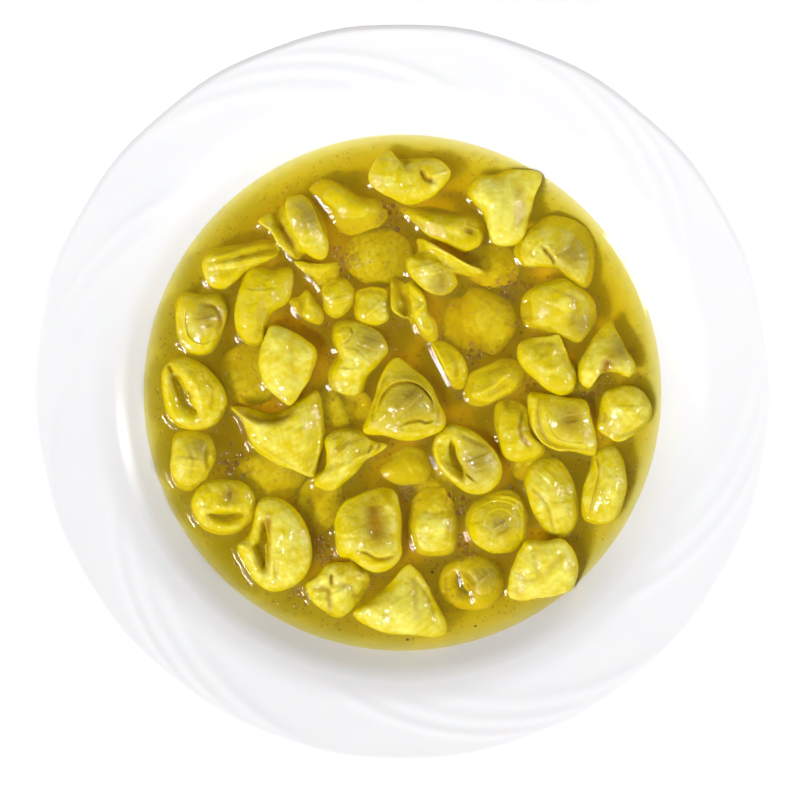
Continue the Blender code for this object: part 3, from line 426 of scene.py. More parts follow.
# %% Places, outlines and turns
PIECES = [
    ("cap", 1.3, 69.1,
     ((-12.5, -0.5), (-9.5, 5), (-5.5, 7.8), (-3, 4.8), (3, 4.6), (9, 4.8), (13, 2.6), (14.2, -0.5),
      (11.5, -4.5), (7, -8.2), (0, -9.5), (-6, -7.2), (-11, -4.2)), 165, 88, 15, 10),
    ("leaf", -17.2, 59.1,
     ((-12.5, 5), (-8.5, 8.5), (-3, 7.2), (3.5, 3.2), (9.5, 2), (12.8, -1.5), (12, -5), (7, -7.8),
      (1, -9.5), (-4, -7), (-6.5, -2), (-9.5, 2)), -30, 80, 0, 0),
    ("cap", 33.4, 58.5,
     ((-11.5, 3.5), (-9, 8.6), (-3, 10), (4, 11.8), (11.5, 10.2), (9.5, 3), (7.5, -4), (5, -10),
      (0.5, -12.8), (-4.3, -11.8), (-6.3, -6), (-8, -1.5)), 45, 90, -10, -8),
    ("hat", -33.1, 51.9,
     ((-12, 2.2), (-7.5, 5.2), (-4, 8.6), (1, 10.2), (5.5, 8.6), (8.6, 3), (10.2, -3.5), (9, -9),
      (4, -10), (-1, -8.8), (-5.5, -5.5), (-8, -1)), 205, 110, 10, 0),
    ("leaf", 13.1, 51.9,
     ((-13.6, 6), (-9, 6.6), (-3.5, 7), (3, 5.2), (9, 4.6), (12.5, 1.5), (13, -2.5), (10.8, -6),
      (6, -7.6), (0.5, -5.2), (-5.5, -2.6), (-9.5, 1.2)), 165, 95, 25, 20),
    ("cap", 49.7, 41.3,
     ((-11, 1), (-9.5, 6), (-5, 10.5), (0.5, 13.2), (7, 12), (12, 8.5), (14.2, 2), (13.5, -4.5),
      (11, -9.3), (6.5, -7.5), (2, -4), (-4, -3.5), (-9, -3)), 60, 100, 0, 0),
    ("cap", 49.7, 29.4,
     ((-13, 1), (-11.5, 5.5), (-6, 8.5), (0.5, 9.8), (5, 6.5), (9, 2.5), (10.2, -2), (8.5, -7),
      (5, -11), (0.5, -9.5), (-5, -7.5), (-11.5, -5.5)), -70, 85, 0, 0),
    ("leaf", -51.6, 41.3,
     ((-11.5, -1), (-9, 3), (-3, 4.8), (3, 5.8), (8.5, 7), (12.5, 6), (13, 2), (8, -0.8), (3.5, -3),
      (0, -6), (-4, -8.5), (-9, -7.5)), 12, 95, -20, -10),
    ("hat", 12.2, 39.4,
     ((-10.3, 2), (-9, 6.5), (-5.5, 8.8), (-1.5, 7.8), (3, 5.2), (8, 2.4), (12.8, -0.6), (11, -2.8),
      (6.5, -2), (5, -5), (2.5, -7.8), (-1, -8.5), (-6, -6.3), (-9.3, -2.2)), 60, 98, 0, 0),
    ("hat", -24.4, 32.6,
     ((-10, 9.5), (-4, 9), (2.5, 8.8), (6, 4), (9.3, -0.5), (9, -4.5), (6.5, -7.8), (3, -9),
      (-0.2, -6.5), (-0.8, -2.5), (-3, 2.5), (-7.5, 6.3)), 130, 95, 0, 0),
    ("cap", -44.1, 28.5,
     ((-9, -5), (-8.3, 1), (-6.5, 6), (-3, 10.8), (3, 10.6), (9.3, 11), (10, 5), (8.3, 0), (4, -3),
      (1.5, -8), (0.5, -12.5), (-3.5, -13), (-7.5, -9.8)), 0, 95, 0, 0),
    ("leaf", -31.3, 26.9,
     ((0.5, 3.6), (3, 0.5), (5.5, -3.5), (4.5, -7.5), (0, -6.5), (-4, -2.5), (-6, 0.5), (-2.5, 1.5)),
     90, 90, 0, 0),
    ("cap", -9.7, 28.5,
     ((-5.2, 0), (-4.6, 4.3), (0, 5.8), (4.8, 4.8), (5.8, 0), (5.2, -5), (2, -7), (-2.5, -6.3),
      (-5, -4)), 90, 88, 0, 0),
    ("hat", 3.8, 26.9,
     ((-7, 6), (-5, 9.5), (-1, 8.5), (2.5, 6), (4.3, 2), (4.8, -1.5), (7, -5), (7, -10), (3.5, -11),
      (0.5, -8), (-1, -4.5), (-4.5, -3), (-7.5, 0)), 195, 100, 0, 0),
    ("cap", -62.5, 22.6,
     ((-8.8, 2), (-8.3, 7.5), (-5.5, 9.8), (0, 8.5), (5.5, 9), (8.5, 5), (7.5, -1), (5, -6), (2.5, -9.5),
      (-1.5, -10.8), (-6, -8.5), (-8.3, -4)), 195, 105, 0, 0),
    ("leaf", 45.0, 12.9,
     ((-9.3, 3), (-8.5, 6.8), (-4, 8.4), (0.5, 9), (4.2, 8.8), (6.8, 3.5), (9.6, -3), (8.2, -8),
      (4.5, -10.2), (0, -8.5), (-4, -5), (-7.8, -1)), 75, 92, 0, 0),
    ("leaf", 63.8, 13.2,
     ((0.8, 10), (-3.5, 6.2), (-6.5, 1.5), (-8.8, -4), (-8, -9.5), (-5.5, -11.3), (-2, -6.8), (2.5, -6.2),
      (7, -7.4), (9.2, -3.8), (6.5, 1.5), (3.5, 6.8)), 85, 105, 0, 0),
    ("cap", -35.3, 13.2,
     ((-4.5, 12.8), (1, 11.2), (6, 8.2), (9.2, 3.5), (8, -3.5), (5, -9), (1.5, -13.2), (-2.5, -11.3),
      (-7, -6.8), (-8.7, -1.5), (-8.2, 4), (-6.8, 9.3)), -88, 90, 0, 0),
    ("cap", -15.0, 11.6,
     ((-7, 7.5), (-5.5, 10.6), (-1.5, 11.8), (4, 10.6), (8.5, 7.5), (10.8, 2.5), (8, -1.5), (4.5, -6),
      (1.8, -11.8), (-3.5, -12.3), (-8, -9.3), (-8.8, -4.5), (-6, 0.5), (-6.8, 4)), 235, 95, 0, 15),
    ("leaf", 15.3, 10.1,
     ((-5.8, 6.6), (-2, 6.6), (2, 4.5), (5, 1.5), (6, -3), (4.5, -7.5), (1.5, -8), (-1, -4.5), (-3, -0.5),
      (-4.8, 3)), 200, 80, 0, 0),
    ("cap", 28.8, 4.4,
     ((-8.8, -1.5), (-7, 3.2), (-2.5, 5.4), (2.5, 7.4), (7.5, 6.8), (10.2, 2.5), (8, -2.3), (3, -5.2),
      (-2, -7.6), (-6.5, -7), (-8.8, -4.5)), 120, 85, 0, 0),
    ("open", -65.9, 0.1,
     ((-9.5, 6), (-7, 10), (-2.5, 11.6), (3, 9.8), (7.5, 6), (10.5, 1), (11.3, -4), (8.5, -9), (3, -11.6),
      (-3, -11.3), (-7.3, -8), (-9.3, -1.5)), 30, 172, 0, 0),
    ("cap", 0.0, -1.5,
     ((-1.5, 13.5), (3.5, 9.8), (8.8, 5), (10.8, -0.5), (13, -6), (12, -10), (6, -12.6), (0, -13.2),
      (-6.5, -11.6), (-12.2, -9.8), (-10.7, -4), (-9, 2.5), (-7.3, 8), (-4.8, 12)), 100, 100, 0, 0),
    ("leaf", -37.5, -12.4,
     ((-17.2, 9), (-11, 8.6), (-5, 7), (1, 8), (6, 11.5), (10, 13), (12.3, 7), (13, 0), (11.5, -7),
      (8.7, -13.2), (2.5, -11.5), (-4, -9.2), (-9.3, -4.8), (-12, 0.5), (-14, 5)), -50, 90, 0, 0),
    ("cap", 49.7, -8.7,
     ((-10.8, 5), (-9.8, 9.4), (-4, 9.2), (2.5, 8.6), (8, 7.5), (9.8, 2.5), (10.8, -3), (10.6, -9.8),
      (4, -9.4), (-2.5, -8.6), (-7.5, -5), (-10, 0)), 225, 100, 0, 0),
    ("cap", 68.8, -5.9,
     ((-6.8, 2), (-5, 6.8), (0, 9.3), (5.5, 8.2), (9.2, 3.5), (8.6, -2), (5, -6), (-0.5, -9.3), (-5, -7.5),
      (-8, -5), (-7.5, -1.5)), 250, 90, 0, 0),
    ("cap", 35.6, -11.8,
     ((-6.6, 5), (-5.5, 9.6), (-0.5, 10.2), (3.2, 8), (4.3, 2.5), (6.5, -2), (9.3, -5), (6.5, -8.8),
      (1, -10.2), (-4.2, -8), (-5.8, -3)), 60, 85, 0, 0),
    ("open", 19.4, -19.3,
     ((-10.6, 2), (-8.8, 6.8), (-4.5, 9.6), (0.5, 8.6), (5, 6), (9.5, 1.5), (11.6, -4), (10.5, -9),
      (6, -12.4), (0.5, -12), (-4.8, -8.5), (-8.8, -4)), 15, 165, 0, 0),
    ("leaf", -17.2, -19.9,
     ((-6.8, 1.5), (-6.6, 6), (-2, 9.2), (3.5, 9.2), (7.5, 6.2), (12.5, 4), (9.5, 1.2), (6, -1),
      (3.5, -4.5), (-0.5, -7.5), (-4.5, -10.3), (-9.8, -9.3), (-10.3, -6.8), (-7.2, -3)), 15, 92, 0, 0),
    ("cap", 1.3, -21.5,
     ((-8, -3), (-5, 2), (0, 5.5), (5.5, 4), (8, -1), (6.5, -6), (1.5, -7.5), (-4, -7)), 90, 90, 0, 0),
    ("cap", -65.9, -20.3,
     ((-7.6, 1), (-6, 7.8), (0.5, 9.2), (5.5, 7), (7.3, 1.5), (5.5, -3.5), (2.5, -8), (-1.5, -10),
      (-5.5, -8.5), (-7.8, -4)), 0, 80, 0, 0),
    ("cap", 63.1, -28.4,
     ((-3, 10.5), (2.5, 12.4), (6, 8.5), (7.9, 2), (7, -5), (3.5, -11), (-1.5, -13), (-5.8, -11.2),
      (-7, -5), (-5.8, 1.5), (-3.8, 6.5)), 180, 100, 0, 0),
    ("cap", 46.6, -32.4,
     ((-8.8, 3), (-7.5, 8.6), (-3, 12.2), (2.5, 11.2), (6.3, 6), (8.3, -0.5), (8.3, -7), (5, -12.3),
      (0.5, -13), (-4, -9.5), (-7, -4)), 35, 100, 0, 0),
    ("open", -57.8, -36.2,
     ((-10, 0), (-8.5, 5), (-3.5, 8.6), (3, 8.8), (8, 6.8), (10.5, 1.5), (9.3, -4.5), (4.5, -8.7),
      (-1.5, -9.4), (-7, -6.8)), 90, 170, 0, 0),
    ("cap", 30.3, -39.3,
     ((-9.6, -1.5), (-7.5, 5), (-2, 8.6), (3.5, 10), (7.8, 7.3), (10, 2), (9.3, -5), (5.5, -9.8),
      (0.5, -11.2), (-4.5, -9.5), (-8.5, -6.2)), 60, 95, 0, 0),
    ("cap", 10.0, -39.9,
     ((-7.5, 3), (-6, 8), (-1.5, 12), (2, 13.5), (5.5, 8), (7, 3), (7.8, -4), (6.5, -10), (1, -11.5),
      (-5, -10.5), (-7.8, -5)), 90, 90, 0, 0),
    ("cap", -10.3, -42.4,
     ((-11.3, 3), (-9, 8.3), (-3, 11.8), (3.5, 13.2), (8.3, 12.2), (9.6, 6), (9.8, -1), (10.6, -7.8),
      (7.5, -12), (2.5, -14), (-2.5, -12.5), (-6, -9.3), (-9.6, -8), (-11.3, -3)), 120, 100, 0, 0),
    ("open", -39.4, -47.1,
     ((-3, 14.8), (2.5, 13.6), (7.3, 9.3), (10.6, 3), (11.4, -4), (9, -10.5), (4, -14.3), (-1.5, -15.3),
      (-6.5, -12.8), (-10.3, -7.5), (-13, -1.2), (-9.3, 2.5), (-7.6, 7.5), (-6.3, 12.3)), 0, 170, 0, 0),
    ("cap", -20.6, -61.2,
     ((-10, 1.2), (-6.5, 4.5), (-3, 8.3), (2, 8.8), (6.5, 7), (10.2, 3), (9.3, -2), (5.5, -6.5), (1, -10),
      (-4, -8.3), (-8, -4.5)), -60, 100, 0, 0),
    ("leaf", 0.0, -64.3,
     ((1.8, 10.3), (5.5, 8.3), (8.8, 3), (11.5, -3), (13.8, -8.5), (12, -12.3), (4, -12.5), (-4, -12.1),
      (-10, -9.8), (-15, -5), (-9.5, -0.8), (-4.2, 4.2), (-1, 8.2)), 80, 90, 0, 0),
    ("open", 20.9, -59.6,
     ((-9.8, -0.5), (-7.5, 5), (-2, 8), (4, 8.8), (9.3, 6), (11.3, 0.5), (9.3, -5.5), (3.5, -8.8),
      (-3.5, -8.5), (-8.3, -5.3)), 30, 165, 0, 0),
    ("cap", 44.4, -55.6,
     ((-7, 5.5), (-4.8, 9.5), (1, 9.3), (6.5, 9.9), (9.8, 6), (11.6, -1), (10, -6.5), (5, -8.8),
      (-1, -9.5), (-6, -10.5), (-10.2, -8.8), (-10.2, -3), (-8, 2.5)), 270, 88, 0, 0),
]
print("tortellini that stand out of the broth:", len(PIECES))


# %% [markdown]
# ### From ring to outline
#
# The formula gives every tortellino of a kind the same contour. To give each its own, the points are
# drawn out or in from the middle: at each angle the ring's own reach, seen from above, is
# measured, and the points are scaled so that the reach becomes that of the drawn outline.

# %% Draw a ring out to its outline
OUTLINE_STEPS = 72
OUTLINE_REACH = 0.16
OUTLINE_INSET = 0.25
CURVE_STEPS = 10
REFERENCE_GRID = (90, 28)


def smooth_curve(points, closed):
    """Cubic through points: its slope at each is half the step between its neighbours."""
    p1 = np.array(points, float)
    if not closed:
        p1 = np.concatenate([2.0 * p1[:1] - p1[1:2], p1, 2.0 * p1[-1:] - p1[-2:-1]])
    p0, p2, p3 = np.roll(p1, 1, axis=0), np.roll(p1, -1, axis=0), np.roll(p1, -2, axis=0)
    t = np.linspace(0.0, 1.0, CURVE_STEPS, endpoint=False)[:, None, None]
    curve = p1 + 0.5 * t * (p2 - p0 + t * (2.0 * p0 - 5.0 * p1 + 4.0 * p2 - p3
                                           + t * (3.0 * (p1 - p2) + p3 - p0)))
    curve = curve.transpose(1, 0, 2).reshape(-1, p1.shape[1])
    return curve if closed else curve[CURVE_STEPS:-2 * CURVE_STEPS + 1]


def outline_of(piece):
    """Closed outline round the middle of its box, drawn in by a quarter of a millimetre, and that
    middle."""
    curve = smooth_curve(piece[3], True)
    middle = 0.5 * (curve.min(0) + curve.max(0))
    curve = curve - middle
    return curve * (1.0 - OUTLINE_INSET / np.hypot(curve[:, 0], curve[:, 1])[:, None]), middle


def area_inside(curve):
    """Area inside a closed curve: half the sum of the cross products of neighbouring points."""
    after = np.roll(curve, -1, axis=0)
    return 0.5 * abs(float(np.sum(curve[:, 0] * after[:, 1] - curve[:, 1] * after[:, 0])))


def drawn_out(points, reference, curve, thick):
    """Scales points from the middle so that the reference's reach at each angle becomes the
    outline's, and scales them upright to the wanted thickness. The reach at an angle is the largest
    of the points there, each weighed by a bell curve of the angle between, and then smoothed."""
    steps = np.linspace(-math.pi, math.pi, OUTLINE_STEPS, endpoint=False)
    angle = np.arctan2(reference[:, 1], reference[:, 0])
    reach = np.hypot(reference[:, 0], reference[:, 1])
    apart = np.mod(angle[None, :] - steps[:, None] + math.pi, 2.0 * math.pi) - math.pi
    found = (reach[None, :] * np.exp(-(apart / OUTLINE_REACH) ** 2)).max(1)
    for shift in (1, 2, 3):
        found = 0.5 * found + 0.25 * (np.roll(found, shift) + np.roll(found, -shift))
    here = np.arctan2(points[:, 1], points[:, 0])
    wanted = np.interp(here, np.arctan2(curve[:, 1], curve[:, 0]), np.hypot(curve[:, 0], curve[:, 1]),
                       period=2.0 * math.pi)
    factor = wanted / np.interp(here, steps, found, period=2.0 * math.pi)
    rise = thick / (reference[:, 2].max() - reference[:, 2].min())
    return points * np.stack([factor, factor, np.full_like(factor, rise)], -1)


def folded_piece(piece, rings, sections):
    """Turned and drawn out points of one tortellino, round the middle of its outline. Its thickness
    is a share of the root of its area."""
    kind, turn = KINDS[piece[0]], fold_turn(*piece[4:]).T
    reference = folded_ring(kind, *REFERENCE_GRID) @ turn
    middle = 0.5 * (reference.min(0) + reference.max(0))
    points = folded_ring(kind, rings, sections) @ turn - middle
    curve = outline_of(piece)[0]
    return drawn_out(points, reference - middle, curve, THICK_SHARE * math.sqrt(area_inside(curve)))


sizes = np.array([np.ptp(outline_of(piece)[0], axis=0) for piece in PIECES])
print("tortellini are", sizes.min().round(1), "to", sizes.max().round(1), "mm across")


# %% [markdown]
# ### An even skin
#
# The ring passes through itself at the pinch, as two pressed corners of dough do. A voxel remesh
# wraps one even skin round it all, closes the hole and leaves small squares of equal size, which
# are good to carve. Three gentle smoothing passes take the steps of the voxels away.

# %% Wrap the skin
SKIN_VOXEL = 0.33
SMOOTH_PASSES = 3


def skinned(points, faces):
    """Mesh with an even skin round a grid of points, from a voxel remesh and a smoothing."""
    blank = bpy.data.objects.new("blank", make_mesh("blank", points, faces))
    bpy.context.scene.collection.objects.link(blank)
    skin = blank.modifiers.new("skin", "REMESH")
    skin.mode = "VOXEL"
    skin.voxel_size = SKIN_VOXEL * MM
    skin.use_smooth_shade = True
    calm = blank.modifiers.new("calm", "SMOOTH")
    calm.factor = 0.5
    calm.iterations = SMOOTH_PASSES
    graph = bpy.context.evaluated_depsgraph_get()
    mesh = bpy.data.meshes.new_from_object(blank.evaluated_get(graph))
    bpy.data.objects.remove(blank)
    return mesh


# %% [markdown]
# ### Carving the folds
#
# What tells one tortellino from the next are its creases, the edge of its sheet and the dome of
# its filling. Each is a stroke: a smooth line over the piece, seen from above, that lifts or
# presses the skin with a bell curve of its width. Below stand, by the number of the piece, how
# many millimetres each stroke lifts or presses, its width, and the points of its line, right and
# up from the place of the piece. Strokes only move what faces up, so the underside stays as it was.

# %% Strokes of all tortellini
STROKES = {
    1: ((1.2, 3.5, (-7, 5), (-8, -2)), (-1.0, 2.2, (-2, 6), (0.5, 2.5)),
        (-1.3, 0.9, (4.2, 1.5), (5.8, -1.6), (8.5, -2.6)), (0.9, 2.0, (10, 0.5), (10.5, -1))),
    2: ((1.7, 5.0, (-7, 6), (0, 1), (9, -3)), (-0.4, 1.0, (4, 3), (8, 0))),
    3: ((1.4, 3.2, (-7, 7), (-4, 0), (-2, -9)), (-0.6, 2.0, (3.5, 8), (4.5, 0), (3, -8)),
        (0.8, 1.0, (10, 9), (7.5, 0), (4.5, -9))),
    4: ((0.8, 1.4, (-8, 1), (-5, -5), (-1, -8)), (-0.9, 1.1, (-6.5, 5), (-4, 0), (0, -6)),
        (1.3, 3.2, (0, 8), (2, 3), (4, -4)), (-0.35, 1.0, (5, 6), (5.4, 2))),
    5: ((-1.2, 1.0, (-8, 6), (0, 4.8), (8, 4.6), (12, 2.9)), (-1.0, 1.6, (8.2, 0), (7.5, -2)),
        (0.9, 1.8, (-11, 4), (-3, 1), (4, 0)), (0.6, 1.0, (10.5, 1), (11, -3), (8, -5.5))),
    6: ((-1.1, 0.6, (-3, 3.5), (0, 0.2), (1.5, -2.5)), (0.6, 4.0, (-6, 2), (-3, 9)),
        (-0.4, 1.0, (1, 1), (5, 2), (9, 9)), (0.5, 3.0, (9, 0), (9, -5)), (0.5, 0.7, (-1.6, 4), (1, 1.6))),
    7: ((1.1, 4.6, (0, 5), (-2, 0)), (-0.5, 1.2, (2.5, 5), (3.4, 0), (1.6, -6)),
        (0.5, 2.6, (6, -2), (5, -7))),
    8: ((1.1, 0.9, (-9, 0.9), (-2, 2.6), (5, 4.8), (12, 5.8)), (-0.85, 0.6, (0, 1.3), (5, 2.6), (12, 4)),
        (0.8, 0.8, (-9, -1.5), (0, -0.1), (6, 1), (12.5, 1.9)), (0.7, 2.0, (-6, -5), (-2, -5.5))),
    9: ((0.9, 4.6, (-4, 2), (-3, -2)), (1.2, 0.9, (-3, 7.6), (3, 4.9), (8, 1.8), (12, -1.2)),
        (-0.4, 1.0, (0, 1), (1, -6)), (-0.5, 1.2, (-6, 6), (-5, 3))),
    10: ((0.9, 1.8, (-7, 8), (-1, 3)), (1.0, 2.8, (3.5, -2), (4, -4)),
         (-0.9, 1.2, (-5, 5), (-1.6, -1), (0, -6))),
    11: ((0.6, 3.0, (2, 8), (4, 7)), (0.8, 2.6, (-4.4, 0), (-4, -7)),
         (-0.4, 1.2, (1, 2), (0, -5), (-1, -10))),
    12: ((1.0, 1.1, (0.5, 3.6), (1.5, -3)), (-0.6, 1.0, (-1, 0), (-2, -4))),
    13: ((0.8, 2.4, (0, -1), (1, -2)), (-0.5, 0.7, (-4, 3.8), (0, 4.4), (4, 3.4))),
    14: ((1.6, 1.0, (-2, 8), (2.5, 3.5), (3.4, 1), (0.5, -2), (-0.3, -4.5)),
         (-1.2, 1.2, (-4, 5), (-2, 1), (-3, -3)), (0.6, 2.2, (4, -6), (4, -8))),
    15: ((1.0, 1.2, (-6.5, 8), (-8, 2), (-7, -5), (-4, -9), (1, -10)), (1.2, 2.6, (1.5, 2), (2, 0)),
         (0.56, 0.6, (0.8, -2.2), (2.4, -1.4), (3.6, -2)), (-1.0, 0.8, (0, 6), (4, 5), (6, 1), (5, -3))),
    16: ((0.8, 3.4, (-2, 3), (2, -3)), (-0.35, 1.0, (-6, 5), (0, 6.4), (4, 5.6)),
         (0.6, 0.7, (4.5, 7), (9, -3))),
    17: ((1.1, 2.2, (-1, 7), (-5, 0), (-6.5, -8)), (0.8, 2.2, (2, 6), (5, 1), (7.5, -4)),
         (-1.5, 1.8, (-1, -8), (-0.5, -5), (0.6, -1))),
    18: ((0.9, 3.0, (-2, 11), (-4, 0), (0, -11)), (-0.3, 1.2, (2, 8), (2, 0), (4, -6)),
         (0.5, 0.7, (6, 8), (8, 3), (6.5, -5))),
    19: ((0.9, 1.8, (-5, 8.6), (-4.6, 7)), (0.7, 3.4, (5, 6), (4, 3)), (1.0, 3.4, (-3, -3), (-3, -7)),
         (-0.39, 0.6, (-2, 9.8), (-0.8, 7.6), (-2.1, 5.6), (-4, 4.4))),
    20: ((1.2, 0.9, (-5, 6), (-3, 2), (0, -4.5)), (-0.6, 1.0, (-1, 5), (2, 0), (2, -5))),
    21: ((1.1, 1.3, (-6, -4), (0, -1), (5, 4)), (-0.6, 1.0, (-2, 3), (4, 5.5)),
         (-0.5, 1.0, (-2, -4), (5, 0))),
    22: ((-1.5, 1.2, (-5.6, 6.5), (-3.2, 2), (-0.6, -3)), (-1.2, 1.7, (-1.8, 0.4), (-0.6, -2)),
         (0.7, 1.4, (-7.5, 7), (-7.5, 0), (-5, -8)), (0.9, 1.2, (-2.4, 8), (1.6, 3), (3.8, -2)),
         (-0.4, 0.8, (4, 6), (7, 1), (6, -6)), (-0.9, 0.6, (-7, 9), (-5.6, 6.5))),
    23: ((1.5, 4.4, (1, 1.2), (3, -0.8)),
         (-0.8, 0.5, (-8.2, -3), (-6.3, 1.4), (-3.3, 4.8), (0.5, 5.8), (4.9, 4.4), (8.2, 0.9), (9.4, -3)),
         (-0.7, 0.5, (-0.5, -7.4), (2, -6.4), (5, -6), (7, -6.7), (10, -5.8)),
         (0.6, 0.7, (-4, 12), (-8.2, 4), (-10.3, -3), (-11, -9)),
         (-0.45, 0.6, (-3.3, 10), (-7.2, 4), (-9.3, -2), (-9.6, -7)),
         (0.5, 1.4, (-8, -10), (0, -10.5), (8, -10.5)), (-0.45, 0.6, (9.6, 1), (11, -4), (10.6, -8))),
    24: ((-1.0, 1.1, (-14, 7.6), (-9, 5.2), (-3, 4.8), (1, 6.2), (3.5, 9)),
         (0.8, 0.9, (-16, 8.2), (-13, 3.8), (-11, 1), (-8, -3.5), (-1, -8.5), (6, -12)),
         (0.8, 3.2, (5, 3), (6, -5)), (0.7, 0.6, (11.6, 6), (11, -5), (8.4, -12)),
         (0.7, 2.0, (-8, 1), (-4, -3))),
    25: ((0.8, 0.8, (-8.6, 8), (-9, 1), (-6.4, -5.6), (0, -8.6), (9, -9.2)),
         (-0.65, 0.6, (-7, 8.4), (-7, 1), (-4.4, -4.8), (1, -7.5), (9, -8)),
         (-0.8, 2.6, (2.5, 3), (3, 0.5)), (0.6, 1.2, (-2, 8), (4, 7.6), (9, 4))),
    26: ((1.0, 4.4, (1.5, 3), (1.5, 0)), (-0.39, 0.6, (7.5, -2.4), (4, -5.4), (-1, -6.8)),
         (0.5, 1.2, (-4, -8.4), (1, -8.6), (5, -7)), (-0.6, 1.0, (-6, 1), (-5, -3))),
    27: ((0.9, 2.6, (-2, 2), (-1, -5)), (-0.9, 0.8, (3, 8), (1.2, 1), (4.5, -5)),
         (0.5, 1.4, (4, 3), (5, -1))),
    28: ((1.2, 1.4, (-4, 8.6), (-9, 4), (-9, -1), (-5, -6), (1, -10.5)), (1.0, 4.0, (3.5, 0), (5, -4)),
         (-0.59, 0.6, (-4.3, 6), (-4.2, 1), (-2.2, -3), (1.4, -6.8), (3.4, -8.2)),
         (-0.7, 0.9, (-2, 7), (2, 5), (7, 2.5))),
    29: ((1.0, 3.0, (-3, 4), (-1, 2)), (0.9, 1.2, (-9, -8.5), (-4, -4), (2, -1.2), (9, 2.6)),
         (-0.65, 0.6, (6.6, 1.4), (8.2, 4.4)), (-0.65, 0.6, (9.4, 2.4), (10.5, 5)),
         (0.56, 0.6, (8, 2), (9.4, 5)), (-0.5, 1.0, (-6, 0), (0, 5), (5, 6))),
    30: ((0.5, 3.0, (0, -1), (2, 0)),),
    31: ((1.0, 3.8, (-1, 1), (-1.5, -3)), (0.98, 0.6, (6.5, 3), (5.4, 1), (7, -1), (6.2, -3.6)),
         (-0.9, 0.7, (4.6, 4), (4, 0), (5, -4)), (-0.4, 0.7, (-2, 5), (0, 0), (-1, -6))),
    32: ((-0.4, 0.6, (-2, 9.5), (-1.3, 4), (-2.8, -3), (-4.6, -10)),
         (0.5, 0.9, (-3.8, 10), (-4.2, 3), (-6.2, -7)), (0.9, 2.4, (2.5, 4), (2.5, -4))),
    33: ((0.9, 3.0, (-1, 8), (-3, 6)), (0.7, 2.2, (3, -1), (3.5, -6)),
         (-0.33, 0.6, (-8, 4), (-3.4, 0), (-0.8, -5), (0.6, -12))),
    34: ((-0.9, 2.2, (1.5, 4.4), (3.5, 4)), (-1.1, 0.8, (-1.4, -2.6), (3, -2.9), (7.4, -2.6)),
         (1.0, 1.6, (-6, 1), (-5, -3), (-1, -5.4)), (0.8, 1.4, (0, -6.2), (6, -6)),
         (0.7, 1.6, (-7, 2), (-4, 5.6)), (0.5, 1.2, (-2, 0.6), (3, -0.2), (7, 0.6))),
    35: ((0.9, 0.6, (-1, 7.8), (4, 7.6), (7.6, 5.6), (8.8, 2)), (1.0, 1.8, (0.8, -0.6), (1.4, -1.4)),
         (0.8, 1.8, (-6.4, 0), (-5, -5)), (-0.45, 0.6, (1.5, 1), (3, -2), (0, -4)),
         (-0.33, 0.6, (-1, 1), (0, -1)), (0.56, 0.6, (8.6, 1), (8.2, -5), (6.8, -8))),
    36: ((0.9, 3.8, (0, 2), (0.5, -4)), (-0.33, 0.6, (-4, 3.4), (0, 3), (5, 3.6)),
         (-0.3, 0.8, (3, 8), (5, 2), (4, -7))),
    37: ((-1.2, 2.5, (1, 9), (1.6, 4), (2.6, -3)), (0.9, 2.6, (-6.5, 5), (-7, -2)),
         (1.3, 1.4, (4.4, 10.6), (7.4, 6), (8.4, 0), (8.4, -4)),
         (-0.91, 0.6, (-3.6, -6.2), (-0.8, -6.7), (2, -8.4), (5, -8.5), (8.6, -7.4)),
         (0.8, 1.2, (-5, -8.4), (1, -10.4), (8, -10)), (0.6, 0.8, (8.8, -2), (8.8, -5.6))),
    38: ((-1.5, 1.3, (-2.3, 9.4), (-3.2, 3), (-3.4, -8.6)), (0.9, 2.2, (1.9, 11), (3.2, 2), (2.2, -9)),
         (0.5, 1.3, (-6, 10), (-7.5, 1), (-7, -8)), (-0.4, 0.8, (-0.3, -6), (0, -11)),
         (0.8, 0.6, (-1.2, -4.5), (-1.6, -8)), (0.6, 1.2, (-12, 0), (-8, -2))),
    39: ((-1.1, 0.6, (-1.8, 5), (-1.7, 1.4)), (1.0, 1.7, (-4.4, 5), (-4, 2)),
         (1.0, 2.2, (-7, -3), (-5, -5.5)), (1.1, 2.6, (0, 0), (2, -3)), (0.7, 1.4, (0.6, 5), (1.6, 3)),
         (-0.8, 1.0, (-8, 0.4), (-3, 0), (-2.4, -3), (-2, -8)), (-0.6, 1.0, (0, 1.6), (4, 1), (6, -4))),
    40: ((0.9, 4.6, (-2, 0), (1, -5)), (-0.4, 1.2, (3.4, 8), (4.4, 0), (5, -8)),
         (0.6, 0.7, (3, 9), (8, 3), (10.5, -3), (12.4, -9)),
         (-0.33, 0.6, (2.4, 7), (7, 2), (9.4, -3), (11, -9))),
    41: ((-0.85, 0.6, (-0.6, 0.4), (0.4, -1.4), (1.6, -3.4)), (1.1, 2.4, (-4, -1), (-3.4, -2)),
         (1.0, 2.6, (5, 3), (6, 2)), (-0.9, 0.9, (-3, 4), (0, 2), (2, -1)),
         (-0.5, 0.8, (-7, 2), (-7, -3))),
    42: ((-0.4, 1.1, (-3.4, 8), (-1.6, 1), (0, -2)), (-0.4, 1.1, (7, 6), (3, 1), (0, -2)),
         (-0.35, 1.0, (-8.5, -1), (-4, -3.2), (0, -2)), (0.5, 1.4, (-6.4, 5), (-4, 0)),
         (0.5, 1.4, (1, 7), (1, 1)), (0.4, 1.5, (-8, -8), (0, -5.6), (8, -5.2)),
         (0.4, 1.5, (6, -0.4), (9, -1.4)), (0.5, 1.0, (-6, 8), (4, 8.4))),
}
print("strokes:", sum(len(strokes) for strokes in STROKES.values()))


